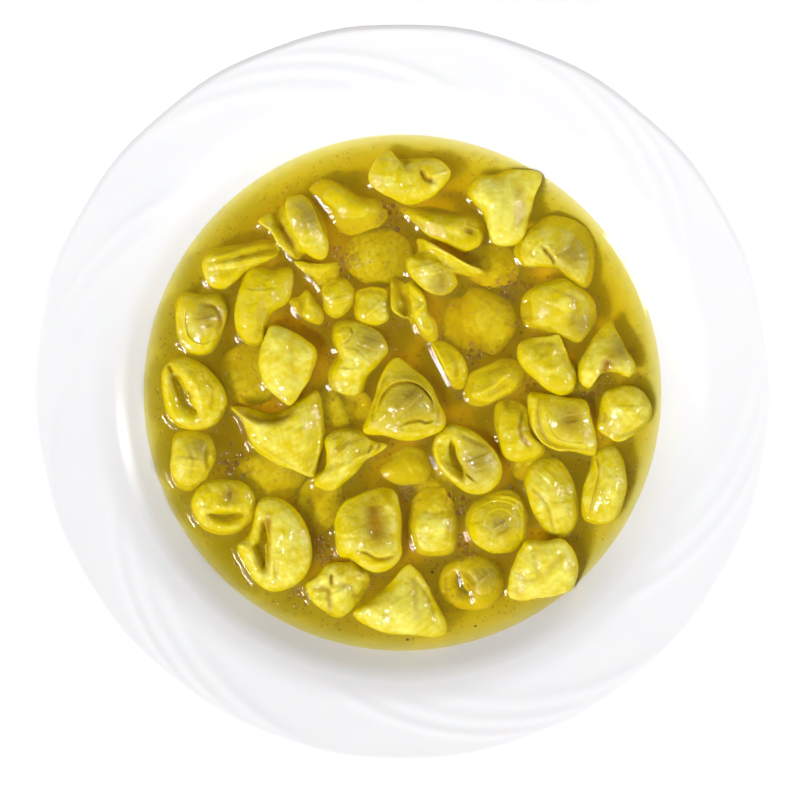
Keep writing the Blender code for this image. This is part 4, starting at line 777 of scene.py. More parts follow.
# %% Edges of the sheet and bends of whole pieces
# An edge is given by its height, how far behind it the lift fades, and its points. It is raised on
# its left, as one walks along it. A bend is given as a stroke is, and moves the underside too.
EDGES = {
    3: ((0.42, 3.0, (3, -10), (2.6, 0), (1.4, 9)),),
    4: ((0.42, 1.6, (2, -7.4), (-1.6, -1), (-4.4, 4.4)),),
    5: ((0.63, 3.0, (12, 2.6), (8, 4.2), (0, 4.4), (-8, 6), (-13, 6.6)),),
    8: ((0.56, 1.5, (-3, 1), (4, 2.3), (12, 4.3)),
        (0.84, 1.6, (-8, -2.7), (0, -1.7), (6, -0.7), (13, 0.5))),
    9: ((1.05, 1.3, (-6, 7), (-1, 5.7), (4, 3.2), (11, -2.2)),),
    10: ((0.56, 3.0, (7, 2), (4, 3.8), (0.6, 2.8), (-1, 0), (-0.6, -4)),),
    11: ((0.56, 3.0, (5, 4.6), (-1, 4.0), (-6.4, 4.8)),),
    15: ((0.91, 1.7, (5, -5), (0, -6.6), (-4.2, -4), (-5.1, 2), (-3.4, 7)),),
    19: ((0.63, 1.8, (-4.4, 4.4), (-2.5, 5.6), (-1.2, 7.6), (-2.2, 10)),
         (0.56, 3.2, (6, -3), (3, 0), (0, 2.6), (-5, 3.4))),
    23: ((0.9, 1.6, (-8.6, -3.4), (-6.7, 1.6), (-3.6, 5.2), (0.5, 6.3), (5.1, 4.8), (8.7, 1), (9.9, -3)),
         (0.7, 1.8, (10, -6.2), (7, -7.1), (5, -6.4), (2, -6.8), (-0.6, -7.8))),
    24: ((0.77, 3.0, (3.6, 8.6), (1, 5.8), (-3, 4.4), (-9, 4.8), (-14, 7.2)),),
    25: ((0.63, 1.5, (9, -5.4), (3, -5.8), (-2.2, -3.8), (-4.8, 2), (-4.8, 8)),),
    26: ((0.63, 3.0, (-1.4, -6.6), (4, -5), (7.6, -2)),),
    28: ((0.91, 2.2, (3.4, -8.5), (1, -6.6), (-2.6, -3), (-4.6, 1), (-4.7, 6)),),
    32: ((0.45, 1.6, (-5, -10), (-3.2, -3), (-1.7, 4), (-2.4, 9.5)),),
    33: ((0.63, 3.0, (-8, 4.6), (-3, 0.6), (-0.4, -5), (1, -12)),),
    35: ((0.56, 1.1, (-3.4, -4), (-3.9, -0.6), (-2.5, 2.6), (0.8, 3.9), (4, 2.6), (5.4, -0.4)),
         (0.63, 1.2, (-5, 4.6), (-1, 6.3), (4, 5.7), (7.2, 3), (8, -1))),
    37: ((0.63, 3.0, (-4, -5.8), (-0.8, -6.3), (2, -8), (5, -8.1), (9, -7)),),
}
BENDS = {
    1: ((-1.5, 2.6, (-4, -10), (6, -9)),),
    3: ((-1.2, 2.0, (9, 4), (6, -6)),),
    5: ((-2.2, 2.2, (-9, 9), (0, 7.6), (9, 6.6)),),
    7: ((-2.4, 3.0, (-13, -4), (-13, 3)),),
    16: ((-1.4, 2.6, (-9, 0), (-4, -6)),),
    24: ((-2.6, 2.2, (-13, 9), (-6, 7.6), (0, 9.4)),),
    25: ((-1.4, 3.0, (10, 6), (6, 10)),),
    27: ((-1.6, 2.4, (2, 10), (-4, 9)),),
    31: ((-1.6, 2.2, (7, 4), (7, -3)),),
    33: ((-1.5, 2.4, (-6, -5), (-4, -10)),),
    36: ((-5.0, 3.6, (0, 14), (0, 10.6)),),
    39: ((-2.2, 3.0, (9, 3), (8, -4)),),
}
print("edges:", sum(len(edges) for edges in EDGES.values()))


# %% Filling that shows and painted pale sheen
# The filling's middle, right and up, and how far it spreads. Then the amount of painted pale sheen,
# from 0 to about 1, laid where a piece stands high and faces up, for the pieces that differ from the
# usual. Sunk pieces lie below the level, where it fades, so they get more: a paler painted tone.
FILLING = {4: (4, 4, 4.0), 6: (7, 1, 5.5), 7: (6, -5, 4.0), 9: (0, -5, 3.5), 15: (1.5, 1.5, 4.0),
           17: (4, 1, 4.0), 19: (5, 5, 4.5), 23: (2, 0.5, 6.5), 25: (2.5, 1.5, 4.5), 28: (4, -2, 5.5),
           31: (2, 4, 3.0), 34: (2.5, 4, 2.6), 35: (1, -1, 3.5), 37: (2, 1, 4.5), 41: (5, 2.5, 4.0)}
PALE_SHEEN = {1: 0.25, 2: 0.0, 3: 0.9, 6: 0.75, 9: 0.6, 10: 0.1, 11: 0.05, 12: 0.2, 13: 0.4, 14: 0.1, 17: 0.7,
        18: 0.55, 19: 0.6, 20: 0.2, 21: 0.2, 23: 0.1, 24: 0.4, 25: 0.2, 26: 0.55, 27: 0.1, 28: 0.5,
        29: 0.5, 30: 0.0, 31: 0.6, 32: 0.5, 33: 0.6, 36: 1.1, 37: 0.35, 38: 0.65, 39: 0.7, 40: 0.8,
        41: 0.15, 42: 0.65}
USUAL_PALE_SHEEN = 0.3
SUNK_PALE_SHEEN = 1.8
print("tortellini with filling showing:", len(FILLING))


# %% Distance to a line and its bell curve
def line_distance(flat, line):
    """Distance from points on a plane to a line of short steps, positive on its left, and how far
    along it they are: each point is dropped onto each step, held between its ends, and the nearest
    foot counts."""
    start, step = line[:-1], np.diff(line, axis=0)
    offset = flat[:, None, :] - start
    part = np.clip((offset * step).sum(-1) / (step ** 2).sum(1), 0.0, 1.0)
    away = np.hypot(*np.moveaxis(offset - part[..., None] * step, -1, 0))
    best = away.argmin(1)
    rows = np.arange(len(flat))
    cross = step[best, 0] * offset[rows, best, 1] - step[best, 1] * offset[rows, best, 0]
    return away[rows, best] * np.sign(cross), (best + part[rows, best]) / len(step)


def bell(flat, width, line):
    """1 on a line, falling as e^-(distance/width)^2 to its sides and easing off at its ends."""
    away, along = line_distance(flat, smooth_curve(line, False))
    return np.exp(-(away / width) ** 2) * (0.35 + 0.65 * smooth(np.minimum(along, 1.0 - along) * 5.0))


def sheet_edge(flat, fade, line):
    """Rises within half a millimetre from 0 on the right of a line to 1 on its left and then fades,
    easing off at both ends."""
    away, along = line_distance(flat, smooth_curve(line, False))
    ends = smooth(np.minimum(along, 1.0 - along) * 6.0)
    return smooth((away + 0.25) / 0.5) * np.exp(-np.maximum(away, 0.0) / fade) * ends


def unevenness(points, seed, size):
    """Between -1 and 1: the mean of six plane waves of about one size in seeded directions."""
    chance = np.random.default_rng(seed)
    ways = chance.normal(size=(6, 3))
    ways = ways / np.linalg.norm(ways, axis=1)[:, None]
    ways = ways * 2.0 * math.pi / (size * chance.uniform(0.7, 1.4, (6, 1)))
    return np.sin(points @ ways.T + chance.uniform(0.0, 2.0 * math.pi, 6)).mean(1)


test_line = np.array([(-1.0, 0.0), (1.0, 0.0)])
print("a point 1 mm left of a line lies at", line_distance(np.array([(0.0, 1.0)]), test_line)[0])


# %% Carve
DEEPEST_FOLD = 1.5
FULL_CREASE_SHADE = 1.4
LUMPS = ((0.28, 7.0, 0), (0.13, 3.0, 100))


def carve(points, normals, number, middle):
    """Moves points up or down by the strokes, edges and bends of a piece and by a slight
    unevenness, whose lumps have a height, a size and a seed. Gives the new points, how deep each
    lies in a crease, which the material paints amber, partly as painted shade, and how much filling shows."""
    flat = points[:, :2] + middle
    facing = smooth((normals[:, 2] - 0.05) / 0.6)
    lift = sum(tall * unevenness(points, number + seed, size) for tall, size, seed in LUMPS)
    crease = np.zeros(len(points))
    # Pressed strokes store a crease depth, which the material turns into painted crease shade.
    for amount, width, *line in STROKES.get(number, ()):
        part = bell(flat, width, line)
        lift += amount * part
        if amount < 0.0:
            crease = np.maximum(crease, part * min(1.0, -amount / FULL_CREASE_SHADE))
    for amount, fade, *line in EDGES.get(number, ()):
        lift += amount * sheet_edge(flat, fade, line)
    lift = np.maximum(lift, -DEEPEST_FOLD) * facing
    for amount, width, *line in BENDS.get(number, ()):
        lift += amount * bell(flat, width, line)
    right, up, size = FILLING.get(number, (0.0, 0.0, 0.0))
    showing = np.exp(-((flat - (right, up)) ** 2).sum(1) / max(size, 0.01) ** 2 * 0.8)
    moved = points.copy()
    moved[:, 2] += lift
    return moved, crease * facing, showing * facing


def painted_sheen_and_tone(points, normals, amount, seed):
    """Painted sheen: pasta is painted paler where it stands high over the broth and faces up, in
    place of the lamp's broad highlight, and its tone also wavers at random from place to place. The
    amount grows with the height over the level and with how far the face looks up."""
    high = smooth((points[:, 2] - LEVEL) / 6.0)
    open_up = smooth((normals[:, 2] - 0.15) / 0.75)
    wavering = 0.4 * unevenness(points, seed + 200, 6.0) + 0.3 * unevenness(points, seed + 300, 2.2)
    sheen_on_high_faces = 0.7 * (amount + 0.1) * (0.3 + 0.8 * high) * (0.15 + 0.95 * open_up)
    return np.clip(sheen_on_high_faces + wavering, 0.0, 1.0)


print("unevenness lifts up to", round(sum(tall for tall, _, _ in LUMPS), 2), "mm")


# %% [markdown]
# ### Cooked egg pasta
#
# The dough is made with egg, so it is lemon yellow, and cooked it lets light a few millimetres in:
# subsurface weight with a radius that is long for red and green and short for blue. It comes out
# of the broth wet with fat, which a clear coat with an index of 1.4 gives, and beads in that film
# about 2 mm across break the light into small bright glints. Where dough is thin over the filling
# it looks greenish grey. The creases are painted a deep amber, partly broth held where wet dough
# lies on dough and partly painted shade. High, upward faces get a paler tone, a painted sheen
# that stands in for the lamp's highlight, with random blotches of tone. These come from attributes
# that the carving stored.
# The bumps are the grain of the sheet, under a millimetre in truth and drawn 1.2 mm wide, so that
# it shows, on ripples of 3.6 mm.

# %% Colour of the pasta
# The pale tone is painted sheen on high, upward faces and also colours random blotches; the wet tone is
# the dough's own yellow.
PALE_SHEEN_AND_BLOTCH_TONE, WET_TONE = "#EEE970", "#D8C300"
# The fold tone darkens creases: partly broth held in the fold, partly painted shade.
FILLING_TONE, CREASE_TINT_AND_SHADE_TONE = "#A08A30", "#A67C00"


def dough_colour(pasta, place):
    """Colour between the wet tone and the pale tone by the attribute of painted pale sheen and random
    tone, and by blotches of about 3 mm, and then towards the filling's tone and the folds' amber,
    which is partly painted shade, by their own attributes."""
    pale, filling, crease = (add_node(pasta, "ShaderNodeAttribute", {"attribute_name": name})
                             for name in ("pale", "filling", "crease"))
    blotch = add_node(pasta, "ShaderNodeTexNoise", Vector=(place, "Object"), Scale=per_mm(3.2),
                      Detail=5.0, Roughness=0.65)
    shift = add_node(pasta, "ShaderNodeMath", {"operation": "MULTIPLY_ADD"},
                     i0=(blotch, "Fac"), i1=1.6, i2=-1.0)
    tone = add_node(pasta, "ShaderNodeMath", {"operation": "ADD", "use_clamp": True},
                    i0=(pale, "Fac"), i1=(shift, 0))
    dough = add_node(pasta, "ShaderNodeMix", {"data_type": "RGBA"}, Factor=(tone, 0),
                     i6=linear(WET_TONE), i7=linear(PALE_SHEEN_AND_BLOTCH_TONE))
    grey = add_node(pasta, "ShaderNodeMath", {"operation": "MULTIPLY"}, i0=(filling, "Fac"), i1=0.8)
    over = add_node(pasta, "ShaderNodeMix", {"data_type": "RGBA"}, Factor=(grey, 0),
                    i6=(dough, 2), i7=linear(FILLING_TONE))
    return add_node(pasta, "ShaderNodeMix", {"data_type": "RGBA"}, Factor=(crease, "Fac"),
                    i6=(over, 2), i7=linear(CREASE_TINT_AND_SHADE_TONE))


print("dry and wet dough:", PALE_SHEEN_AND_BLOTCH_TONE, WET_TONE)


# %% Material of the pasta
egg_pasta, output = new_material("cooked_egg_pasta")
place = add_node(egg_pasta, "ShaderNodeTexCoord")
dough = dough_colour(egg_pasta, place)
grain = add_node(egg_pasta, "ShaderNodeTexNoise", Vector=(place, "Object"), Scale=per_mm(1.2), Detail=2.0)
ripple = add_node(egg_pasta, "ShaderNodeTexNoise", Vector=(place, "Object"), Scale=per_mm(3.6), Detail=2.0)
rough = add_node(egg_pasta, "ShaderNodeBump", Height=(ripple, "Fac"), Strength=0.8, Distance=0.7 * MM)
fine = add_node(egg_pasta, "ShaderNodeBump", Height=(grain, "Fac"), Normal=(rough, "Normal"),
                Strength=1.0, Distance=0.3 * MM)
bead = add_node(egg_pasta, "ShaderNodeTexNoise", Vector=(place, "Object"), Scale=per_mm(2.2), Detail=1.5)
film = add_node(egg_pasta, "ShaderNodeBump", Height=(bead, "Fac"), Strength=1.0, Distance=0.75 * MM)
body = add_node(egg_pasta, "ShaderNodeBsdfPrincipled", Base_Color=(dough, 2), Roughness=0.4, IOR=1.4,
                Specular_IOR_Level=0.1, Subsurface_Weight=0.65, Subsurface_Scale=0.0022,
                Subsurface_Radius=(1.0, 0.8, 0.1), Normal=(fine, "Normal"), Coat_Weight=1.0,
                Coat_Roughness=0.05, Coat_IOR=1.4, Coat_Normal=(film, "Normal"))
egg_pasta.node_tree.links.new(body.outputs["BSDF"], output.inputs["Surface"])
print("material:", egg_pasta.name)


# %% [markdown]
# ### Forty-two pieces from one loop
#
# Every piece goes the same way: the folded ring, its turn and outline, the even skin, the carved
# folds. It is then moved so that the middle of its box is the middle of its CAD node's box, because
# the CAD model has the height at which it lies free of the others, and it takes the node's place.

# %% Make every tortellino that stands out of the broth
RINGS, SECTIONS = 110, 72


def dress(mesh, points, crease, showing, pale):
    """Moves a mesh to new points in millimetres and stores what the material reads at each."""
    mesh.vertices.foreach_set("co", (points * MM).astype(np.float32).ravel())
    for name, values in (("crease", crease), ("filling", showing), ("pale", pale)):
        add_value(mesh, name, values)
    mesh.update()


ring_quads = grid_faces(RINGS, SECTIONS, True)[:, ::-1]
above_points = []
for number, piece in enumerate(PIECES, 1):
    node = f"tortellino_{number:02d}"
    mesh = skinned(folded_piece(piece, RINGS, SECTIONS), ring_quads)
    points, normals = mesh_points(mesh)
    points, crease, showing = carve(points, normals, number, outline_of(piece)[1])
    low, high = box_mm(node)
    points += 0.5 * (low + high) - 0.5 * (points.min(0) + points.max(0))
    dress(mesh, points, crease, showing, painted_sheen_and_tone(points, normals, PALE_SHEEN.get(number, USUAL_PALE_SHEEN), number))
    place_piece(f"pasta_{number:02d}", mesh, egg_pasta, "pasta", node)
    above_points.append(points)
print("tortellini placed:", len(above_points), " points in all:", sum(map(len, above_points)))


# %% [markdown]
# ## The broth
#
# Broth is water with salt, fat and what the pasta gave up: clear, golden, with an index of 1.33.
# It wets what it touches and creeps up it by about a millimetre. That curved edge, the meniscus,
# is what catches the thin bright lines beside the pasta. The surface is a disc made from a
# square grid, because such a grid is even everywhere, and its height is a formula of the
# distance to the nearest pasta or wall: level + rise times e^(-distance / width).

# %% How far is it to the nearest pasta
CELL = 0.4
HALF_CELLS = 215
REACH_CELLS = 16


def distance_map(point_sets, above):
    """Square map of the distance to the nearest point of the sets that lies above a height. It is
    found in two sweeps: first along x, then along y with x's result."""
    size = 2 * HALF_CELLS + 1
    nearest = np.full((size, size), 1e3)
    for points in point_sets:
        spots = points[points[:, 2] > above][:, :2]
        column, row = (np.rint(spots / CELL).astype(int) + HALF_CELLS).T
        nearest[row, column] = 0.0
    for axis in (1, 0):
        squared = nearest ** 2
        for shift in range(1, REACH_CELLS + 1):
            for way in (shift, -shift):
                squared = np.minimum(squared, np.roll(nearest, way, axis) ** 2 + shift ** 2)
        nearest = np.sqrt(squared)
    return np.minimum(nearest, REACH_CELLS) * CELL


def read_map(values, flat):
    """Value of a map at points of the plane, between four cells by their shares."""
    at = flat / CELL + HALF_CELLS
    low = np.clip(np.floor(at).astype(int), 0, 2 * HALF_CELLS - 1)
    right, up = (at - low).T
    column, row = low.T
    return ((values[row, column] * (1 - right) + values[row, column + 1] * right) * (1 - up)
            + (values[row + 1, column] * (1 - right) + values[row + 1, column + 1] * right) * up)


to_pasta = distance_map(above_points, LEVEL - 0.2)
for _ in range(2):
    beside = sum(np.roll(to_pasta, way, axis) for way in (1, -1) for axis in (0, 1))
    to_pasta = 0.5 * to_pasta + 0.125 * beside
print("open broth:", round(float((to_pasta > 1.0).mean()), 2), "of the map's square")


# %% Surface and floor of the broth
MENISCUS_HIGH = 1.2
MENISCUS_WIDE = 1.4
TREMBLE_HIGH = 0.05
TREMBLE_SIZE = 9.0
CALM_EDGE = 4.0
INTO_WALL = 0.3
SURFACE_STEPS = 280
SINK_RINGS = 12
well = wall_line(0.0, 60)


def wall_height(radius):
    """Height of the well's inner face at a radius, from the section's line."""
    return np.interp(radius, np.append(0.0, well[:, 0]), np.append(FLOOR_HEIGHT, well[:, 1]))


def disc_grid(steps):
    """Points of a unit disc from a square grid: each square ring becomes a circle, with the way
    along the side turned into the angle."""
    side = np.linspace(-1.0, 1.0, steps)
    x, y = np.meshgrid(side, side)
    flat_x = np.abs(x) > np.abs(y)
    reach = np.where(flat_x, x, y)
    share = np.where(flat_x, y, x) / np.where(reach == 0.0, 1.0, reach)
    turn = np.where(flat_x, 0.25 * math.pi * share, 0.5 * math.pi - 0.25 * math.pi * share)
    return np.stack([reach * np.cos(turn), reach * np.sin(turn)], -1).reshape(-1, 2)


edge_radius = float(np.interp(LEVEL + MENISCUS_HIGH, well[:, 1], well[:, 0])) + INTO_WALL
disc = disc_grid(SURFACE_STEPS) * edge_radius
to_wall = np.maximum(edge_radius - INTO_WALL - np.hypot(disc[:, 0], disc[:, 1]), 0.0)
nearest = np.minimum(read_map(to_pasta, disc), to_wall)
rise = MENISCUS_HIGH * np.exp(-nearest / MENISCUS_WIDE)
tremble = TREMBLE_HIGH * unevenness(np.column_stack([disc, 0.0 * disc[:, 0]]), 7, TREMBLE_SIZE)
surface = np.column_stack([disc, LEVEL + rise + tremble * smooth(to_wall / CALM_EDGE)])
print("highest point of the broth over its level:", round(float(surface[:, 2].max() - LEVEL), 2))


# %% Close the broth with the form of the well
grid = np.arange(SURFACE_STEPS ** 2).reshape(SURFACE_STEPS, SURFACE_STEPS)
cells = [grid[:-1, :-1], grid[:-1, 1:], grid[1:, 1:], grid[1:, :-1]]
surface_quads = np.stack(cells, -1).reshape(-1, 4)
rim_loop = np.concatenate([grid[0, :-1], grid[:-1, -1], grid[-1, :0:-1], grid[:0:-1, 0]])
shares = np.sqrt(np.linspace(1.0, 0.0, SINK_RINGS + 1)[1:-1])[:, None]
ring_x, ring_y = (shares * surface[rim_loop, k][None, :] for k in (0, 1))
ring_z = wall_height(np.hypot(ring_x, ring_y)) - INTO_WALL
sink = np.stack([ring_x, ring_y, ring_z], -1).reshape(-1, 3)
broth_points = np.concatenate([surface, sink, [[0.0, 0.0, FLOOR_HEIGHT - INTO_WALL]]])
count, rim = len(rim_loop), len(surface)
loops = np.concatenate([rim_loop[None, :], rim + np.arange(len(sink)).reshape(-1, count)])
upper, lower = loops[:-1], loops[1:]
sink_quads = np.stack([upper, lower, np.roll(lower, -1, 1), np.roll(upper, -1, 1)], -1).reshape(-1, 4)
last = loops[-1]
middle_fan = np.stack([np.full(count, len(broth_points) - 1), np.roll(last, -1), last], -1)
broth_mesh = make_mesh("broth_liquid", broth_points, surface_quads, sink_quads, middle_fan)
print("broth faces:", len(broth_mesh.polygons))


# %% [markdown]
# ### Golden broth
#
# The colour of broth lies in its depth. A surface with the index of water is filled with an
# absorbing volume: blue is gone within about 4 millimetres, green fades over centimetres, and red
# hardly at all. Thin broth at the wall is therefore straw yellow, and the deep gaps between the
# pasta are amber. This broth is also a little cloudy with starch and fat, so part of its surface is
# a plain golden body that scatters light, and the rest lets it through. An alpha of a half lets
# the lamps shine straight into the depth.

# %% Material of the broth
broth_material, output = new_material("golden_meat_broth")
water = add_node(broth_material, "ShaderNodeBsdfPrincipled", Base_Color=linear("#FFEE24"), Roughness=0.03,
                 IOR=1.333, Transmission_Weight=0.7, Alpha=0.5, Specular_IOR_Level=0.9)
depth = add_node(broth_material, "ShaderNodeVolumeAbsorption", Color=(0.99, 0.915, 0.0, 1.0),
                 Density=240.0)
broth_material.node_tree.links.new(water.outputs["BSDF"], output.inputs["Surface"])
broth_material.node_tree.links.new(depth.outputs["Volume"], output.inputs["Volume"])
place_piece("broth_liquid", broth_mesh, broth_material, "broth", "broth")
print("broth placed")


# %% [markdown]
# ## Tortellini sunk in the broth
#
# Under the forty-two lie others that are wholly covered. They are the same folded rings with plain
# oval outlines, close under the surface, where only their dim shape shows. Each entry below gives
# its place, right and up, how far it reaches across in those two directions, the height of its top
# over the table, and its heading.

# %% Sunk tortellini
OVAL_POINTS = 10
SUNK = [
    (-7.2, 42.9, 23, 19, 22.2, 30), (24.1, 22.3, 25, 21, 22.0, 200), (-47.8, 6.0, 21, 21, 21.4, 100),
    (-18.7, -4.4, 20, 15, 21.5, 20), (-41.6, -26.2, 22, 17, 21.5, 260), (-25.9, -34.6, 15, 19, 21.2, 150),
    (28.8, 40.4, 18, 15, 20.0, 80), (-58.8, 29.4, 14, 12, 19.5, 10), (53.8, 4.4, 15, 12, 20.0, 300),
    (10.0, -28.0, 14, 12, 20.4, 60), (41.0, -22.0, 14, 13, 20.0, 330),
]
for number, (right, up, wide, high, top, heading) in enumerate(SUNK, 1):
    turn = np.linspace(0.0, 2.0 * math.pi, OVAL_POINTS, endpoint=False)
    oval = np.stack([0.5 * wide * np.cos(turn), 0.5 * high * np.sin(turn)], 1)
    piece = ("cap" if number % 2 else "open", right, up, tuple(map(tuple, oval)), heading, 92, 0, 0)
    mesh = skinned(folded_piece(piece, RINGS, SECTIONS), ring_quads)
    points, normals = mesh_points(mesh)
    points, crease, showing = carve(points, normals, 50 + number, np.zeros(2))
    points += np.array([right, up, top - points[:, 2].max()])
    points[:, 2] = np.maximum(points[:, 2], FLOOR_HEIGHT + 0.2)
    # Sunk pieces get more painted pale sheen, a lighter tone that stands in for light reaching them under
    # the broth.
    dress(mesh, points, crease, showing, painted_sheen_and_tone(points, normals, SUNK_PALE_SHEEN, number))
    place_piece(f"sunk_{number:02d}", mesh, egg_pasta, "pasta")
print("sunk tortellini:", len(SUNK))


# %% [markdown]
# ## Eyes of fat
#
# Melted fat gathers on broth in small round lenses. Each one is a low cap with a flat underside
# that floats just over the surface. It has twelve sides and a few dozen faces, because there are
# hundreds of them. They lie where the broth is open: close together in a few narrow gaps, and
# thinly over the rest. Seeds are fixed, so that they are in the same places every time. All of
# them are one mesh.

# %% Scatter the eyes over the open broth
def broth_height(flat):
    """Height of the broth's surface at points of the plane, level + rise times e^(-distance / width),
    and the distance to the nearest pasta or wall."""
    to_edge = np.maximum(edge_radius - INTO_WALL - np.hypot(flat[:, 0], flat[:, 1]), 0.0)
    away = np.minimum(read_map(to_pasta, flat), to_edge)
    return LEVEL + MENISCUS_HIGH * np.exp(-away / MENISCUS_WIDE), away


CROWDS = [
    (-3.1, 56.0, 4.5), (-18.1, 41.9, 4.0), (0.6, -31.5, 4.0), (-25.3, -49.3, 4.0),
    (20.9, -50.2, 4.5), (20.9, 10.7, 4.5), (39.7, 6.0, 4.5), (52.2, 1.9, 4.0),
    (61.6, -0.3, 3.5), (-54.1, -22.1, 4.5), (33.4, 34.1, 4.0), (19.4, -33.1, 4.0),
    (-32.2, -63.4, 4.0), (29.4, 4.4, 4.0), (-36.0, 16.0, 4.0),
]
EYES_PER_CROWD = 55
LOOSE_EYES = 4200
OPEN_RADIUS = 78.0
CLEAR_OF_EDGE = 0.4
APART = 1.04
rng = np.random.default_rng(11)
spots = [rng.normal(0.0, 0.5, (EYES_PER_CROWD, 2)) * reach + (right, up) for right, up, reach in CROWDS]
crowd_count = sum(map(len, spots))
ring_angle = rng.uniform(0.0, 2.0 * math.pi, LOOSE_EYES)
spots.append(np.sqrt(rng.uniform(0.0, 1.0, LOOSE_EYES))[:, None] * OPEN_RADIUS
             * np.stack([np.cos(ring_angle), np.sin(ring_angle)], 1))
spots = np.concatenate(spots)
eye_sizes = np.concatenate([rng.uniform(0.4, 1.05, crowd_count),
                            rng.uniform(0.16, 0.45, len(spots) - crowd_count)])
free = broth_height(spots)[1] > eye_sizes + CLEAR_OF_EDGE
eyes = np.empty((0, 3))
for (right, up), size in zip(spots[free], eye_sizes[free]):
    between = np.hypot(eyes[:, 0] - right, eyes[:, 1] - up)
    if (between > APART * (eyes[:, 2] + size)).all():
        eyes = np.vstack([eyes, (right, up, size)])
print("eyes of fat:", len(eyes), " widest:", round(2.0 * float(eyes[:, 2].max()), 2), "mm")


# %% One mesh of lenses
EYE_SIDES = 12
EYE_GAP = 0.06
EYE_RINGS = [(0.0, 0.4), (0.5, 0.33), (0.86, 0.18), (1.0, 0.04), (0.8, 0.0), (0.0, 0.0)]


def lenses(eyes):
    """Turned lenses: each ring of the profile is a circle of (radius, height) times the eye's size,
    and the first and last are its poles."""
    turn = 2.0 * math.pi * np.arange(EYE_SIDES) / EYE_SIDES
    profile = np.array(EYE_RINGS)
    radius, height = profile[1:-1, :1], profile[1:-1, 1:]
    circles = np.stack([radius * np.cos(turn), radius * np.sin(turn), height + 0.0 * turn], -1)
    top_pole, foot_pole = ([(0.0, 0.0, profile[k, 1])] for k in (0, -1))
    lens = np.concatenate([top_pole, circles.reshape(-1, 3), foot_pole])
    level = broth_height(eyes[:, :2])[0]
    middles = np.column_stack([eyes[:, :2], level + EYE_GAP])
    points = middles[:, None, :] + lens[None, :, :] * eyes[:, None, 2:]
    rows = len(EYE_RINGS) - 2
    at = 1 + np.arange(rows * EYE_SIDES).reshape(rows, EYE_SIDES)
    after = np.roll(at, -1, 1)
    sides = np.stack([at[:-1], at[1:], after[1:], after[:-1]], -1).reshape(-1, 4)
    top = np.stack([np.zeros(EYE_SIDES, int), at[0], after[0]], -1)
    foot = np.stack([np.full(EYE_SIDES, len(lens) - 1), after[-1], at[-1]], -1)
    shift = len(lens) * np.arange(len(eyes))[:, None, None]
    groups = [(faces[None] + shift).reshape(-1, faces.shape[1]) for faces in (sides, top, foot)]
    return points.reshape(-1, 3), groups


eye_points, eye_groups = lenses(eyes)
eye_mesh = make_mesh("fat_eyes", eye_points, *eye_groups)
print("faces of one eye:", len(eye_mesh.polygons) // len(eyes))


# %% [markdown]
# ### Melted fat
#
# Broth fat is clear and pale gold, and its index of 1.46 is over that of broth. A lens of it shows
# a dark line round its edge and a bright middle.

# %% Material of the fat
fat_material, output = new_material("melted_broth_fat")
fat = add_node(fat_material, "ShaderNodeBsdfPrincipled", Base_Color=linear("#FFF2A8"), Roughness=0.05,
               IOR=1.46, Transmission_Weight=1.0)
fat_material.node_tree.links.new(fat.outputs["BSDF"], output.inputs["Surface"])
place_piece("fat_eyes", eye_mesh, fat_material, None)
print("material:", fat_material.name)


# %% [markdown]
# ## Pepper
#
# A few grains of ground black pepper float in the broth. They are broken bits with no form of
# their own, so each is a block whose eight corners are moved by a seeded scatter.

# %% Pepper specks
GRAINS = [(9.4, -56.2, 0.9), (23.1, -73.4, 0.8), (1.6, -77.6, 0.9), (10.4, -55.0, 0.5),
          (-21.0, -68.0, 0.5)]
HALF_SIDES = (0.5, 0.4, 0.25)
PROUD = 0.1


def pepper_grain(right, up, size, seed):
    """A small block with eight moved corners, halfway in the broth."""
    corners = np.array([(x, y, z) for z in (-1, 1) for y in (-1, 1) for x in (-1, 1)], float)
    shares = np.random.default_rng(seed).uniform(0.55, 1.0, (8, 3))
    level = float(broth_height(np.array([[right, up]]))[0][0])
    return corners * shares * [half * size for half in HALF_SIDES] + (right, up, level + PROUD)


block = np.array([(0, 2, 3, 1), (4, 5, 7, 6), (0, 1, 5, 4), (2, 6, 7, 3), (0, 4, 6, 2), (1, 3, 7, 5)])
pepper_points = np.concatenate([pepper_grain(*grain, seed) for seed, grain in enumerate(GRAINS)])
pepper_faces = np.concatenate([block + 8 * number for number in range(len(GRAINS))])
pepper_mesh = make_mesh("pepper_specks", pepper_points, pepper_faces)
pepper_material, output = new_material("ground_black_pepper")
pepper = add_node(pepper_material, "ShaderNodeBsdfPrincipled", Base_Color=linear("#3A2008"), Roughness=0.7)
pepper_material.node_tree.links.new(pepper.outputs["BSDF"], output.inputs["Surface"])
place_piece("pepper_specks", pepper_mesh, pepper_material, None)
print("pepper specks:", len(GRAINS))


# %% [markdown]
# ## Table, light and camera
#
# Wet food shines where a lamp is mirrored in it. One soft window stands on the left in front, high
# enough to reach the gaps, and a narrow strip low on the right draws the thin lines along the wet
# edges. A pale sky fills the shadows: it is darker overhead, so that the broth stays deep, and
# dimmer behind than in front. The camera looks almost straight down with a long lens.

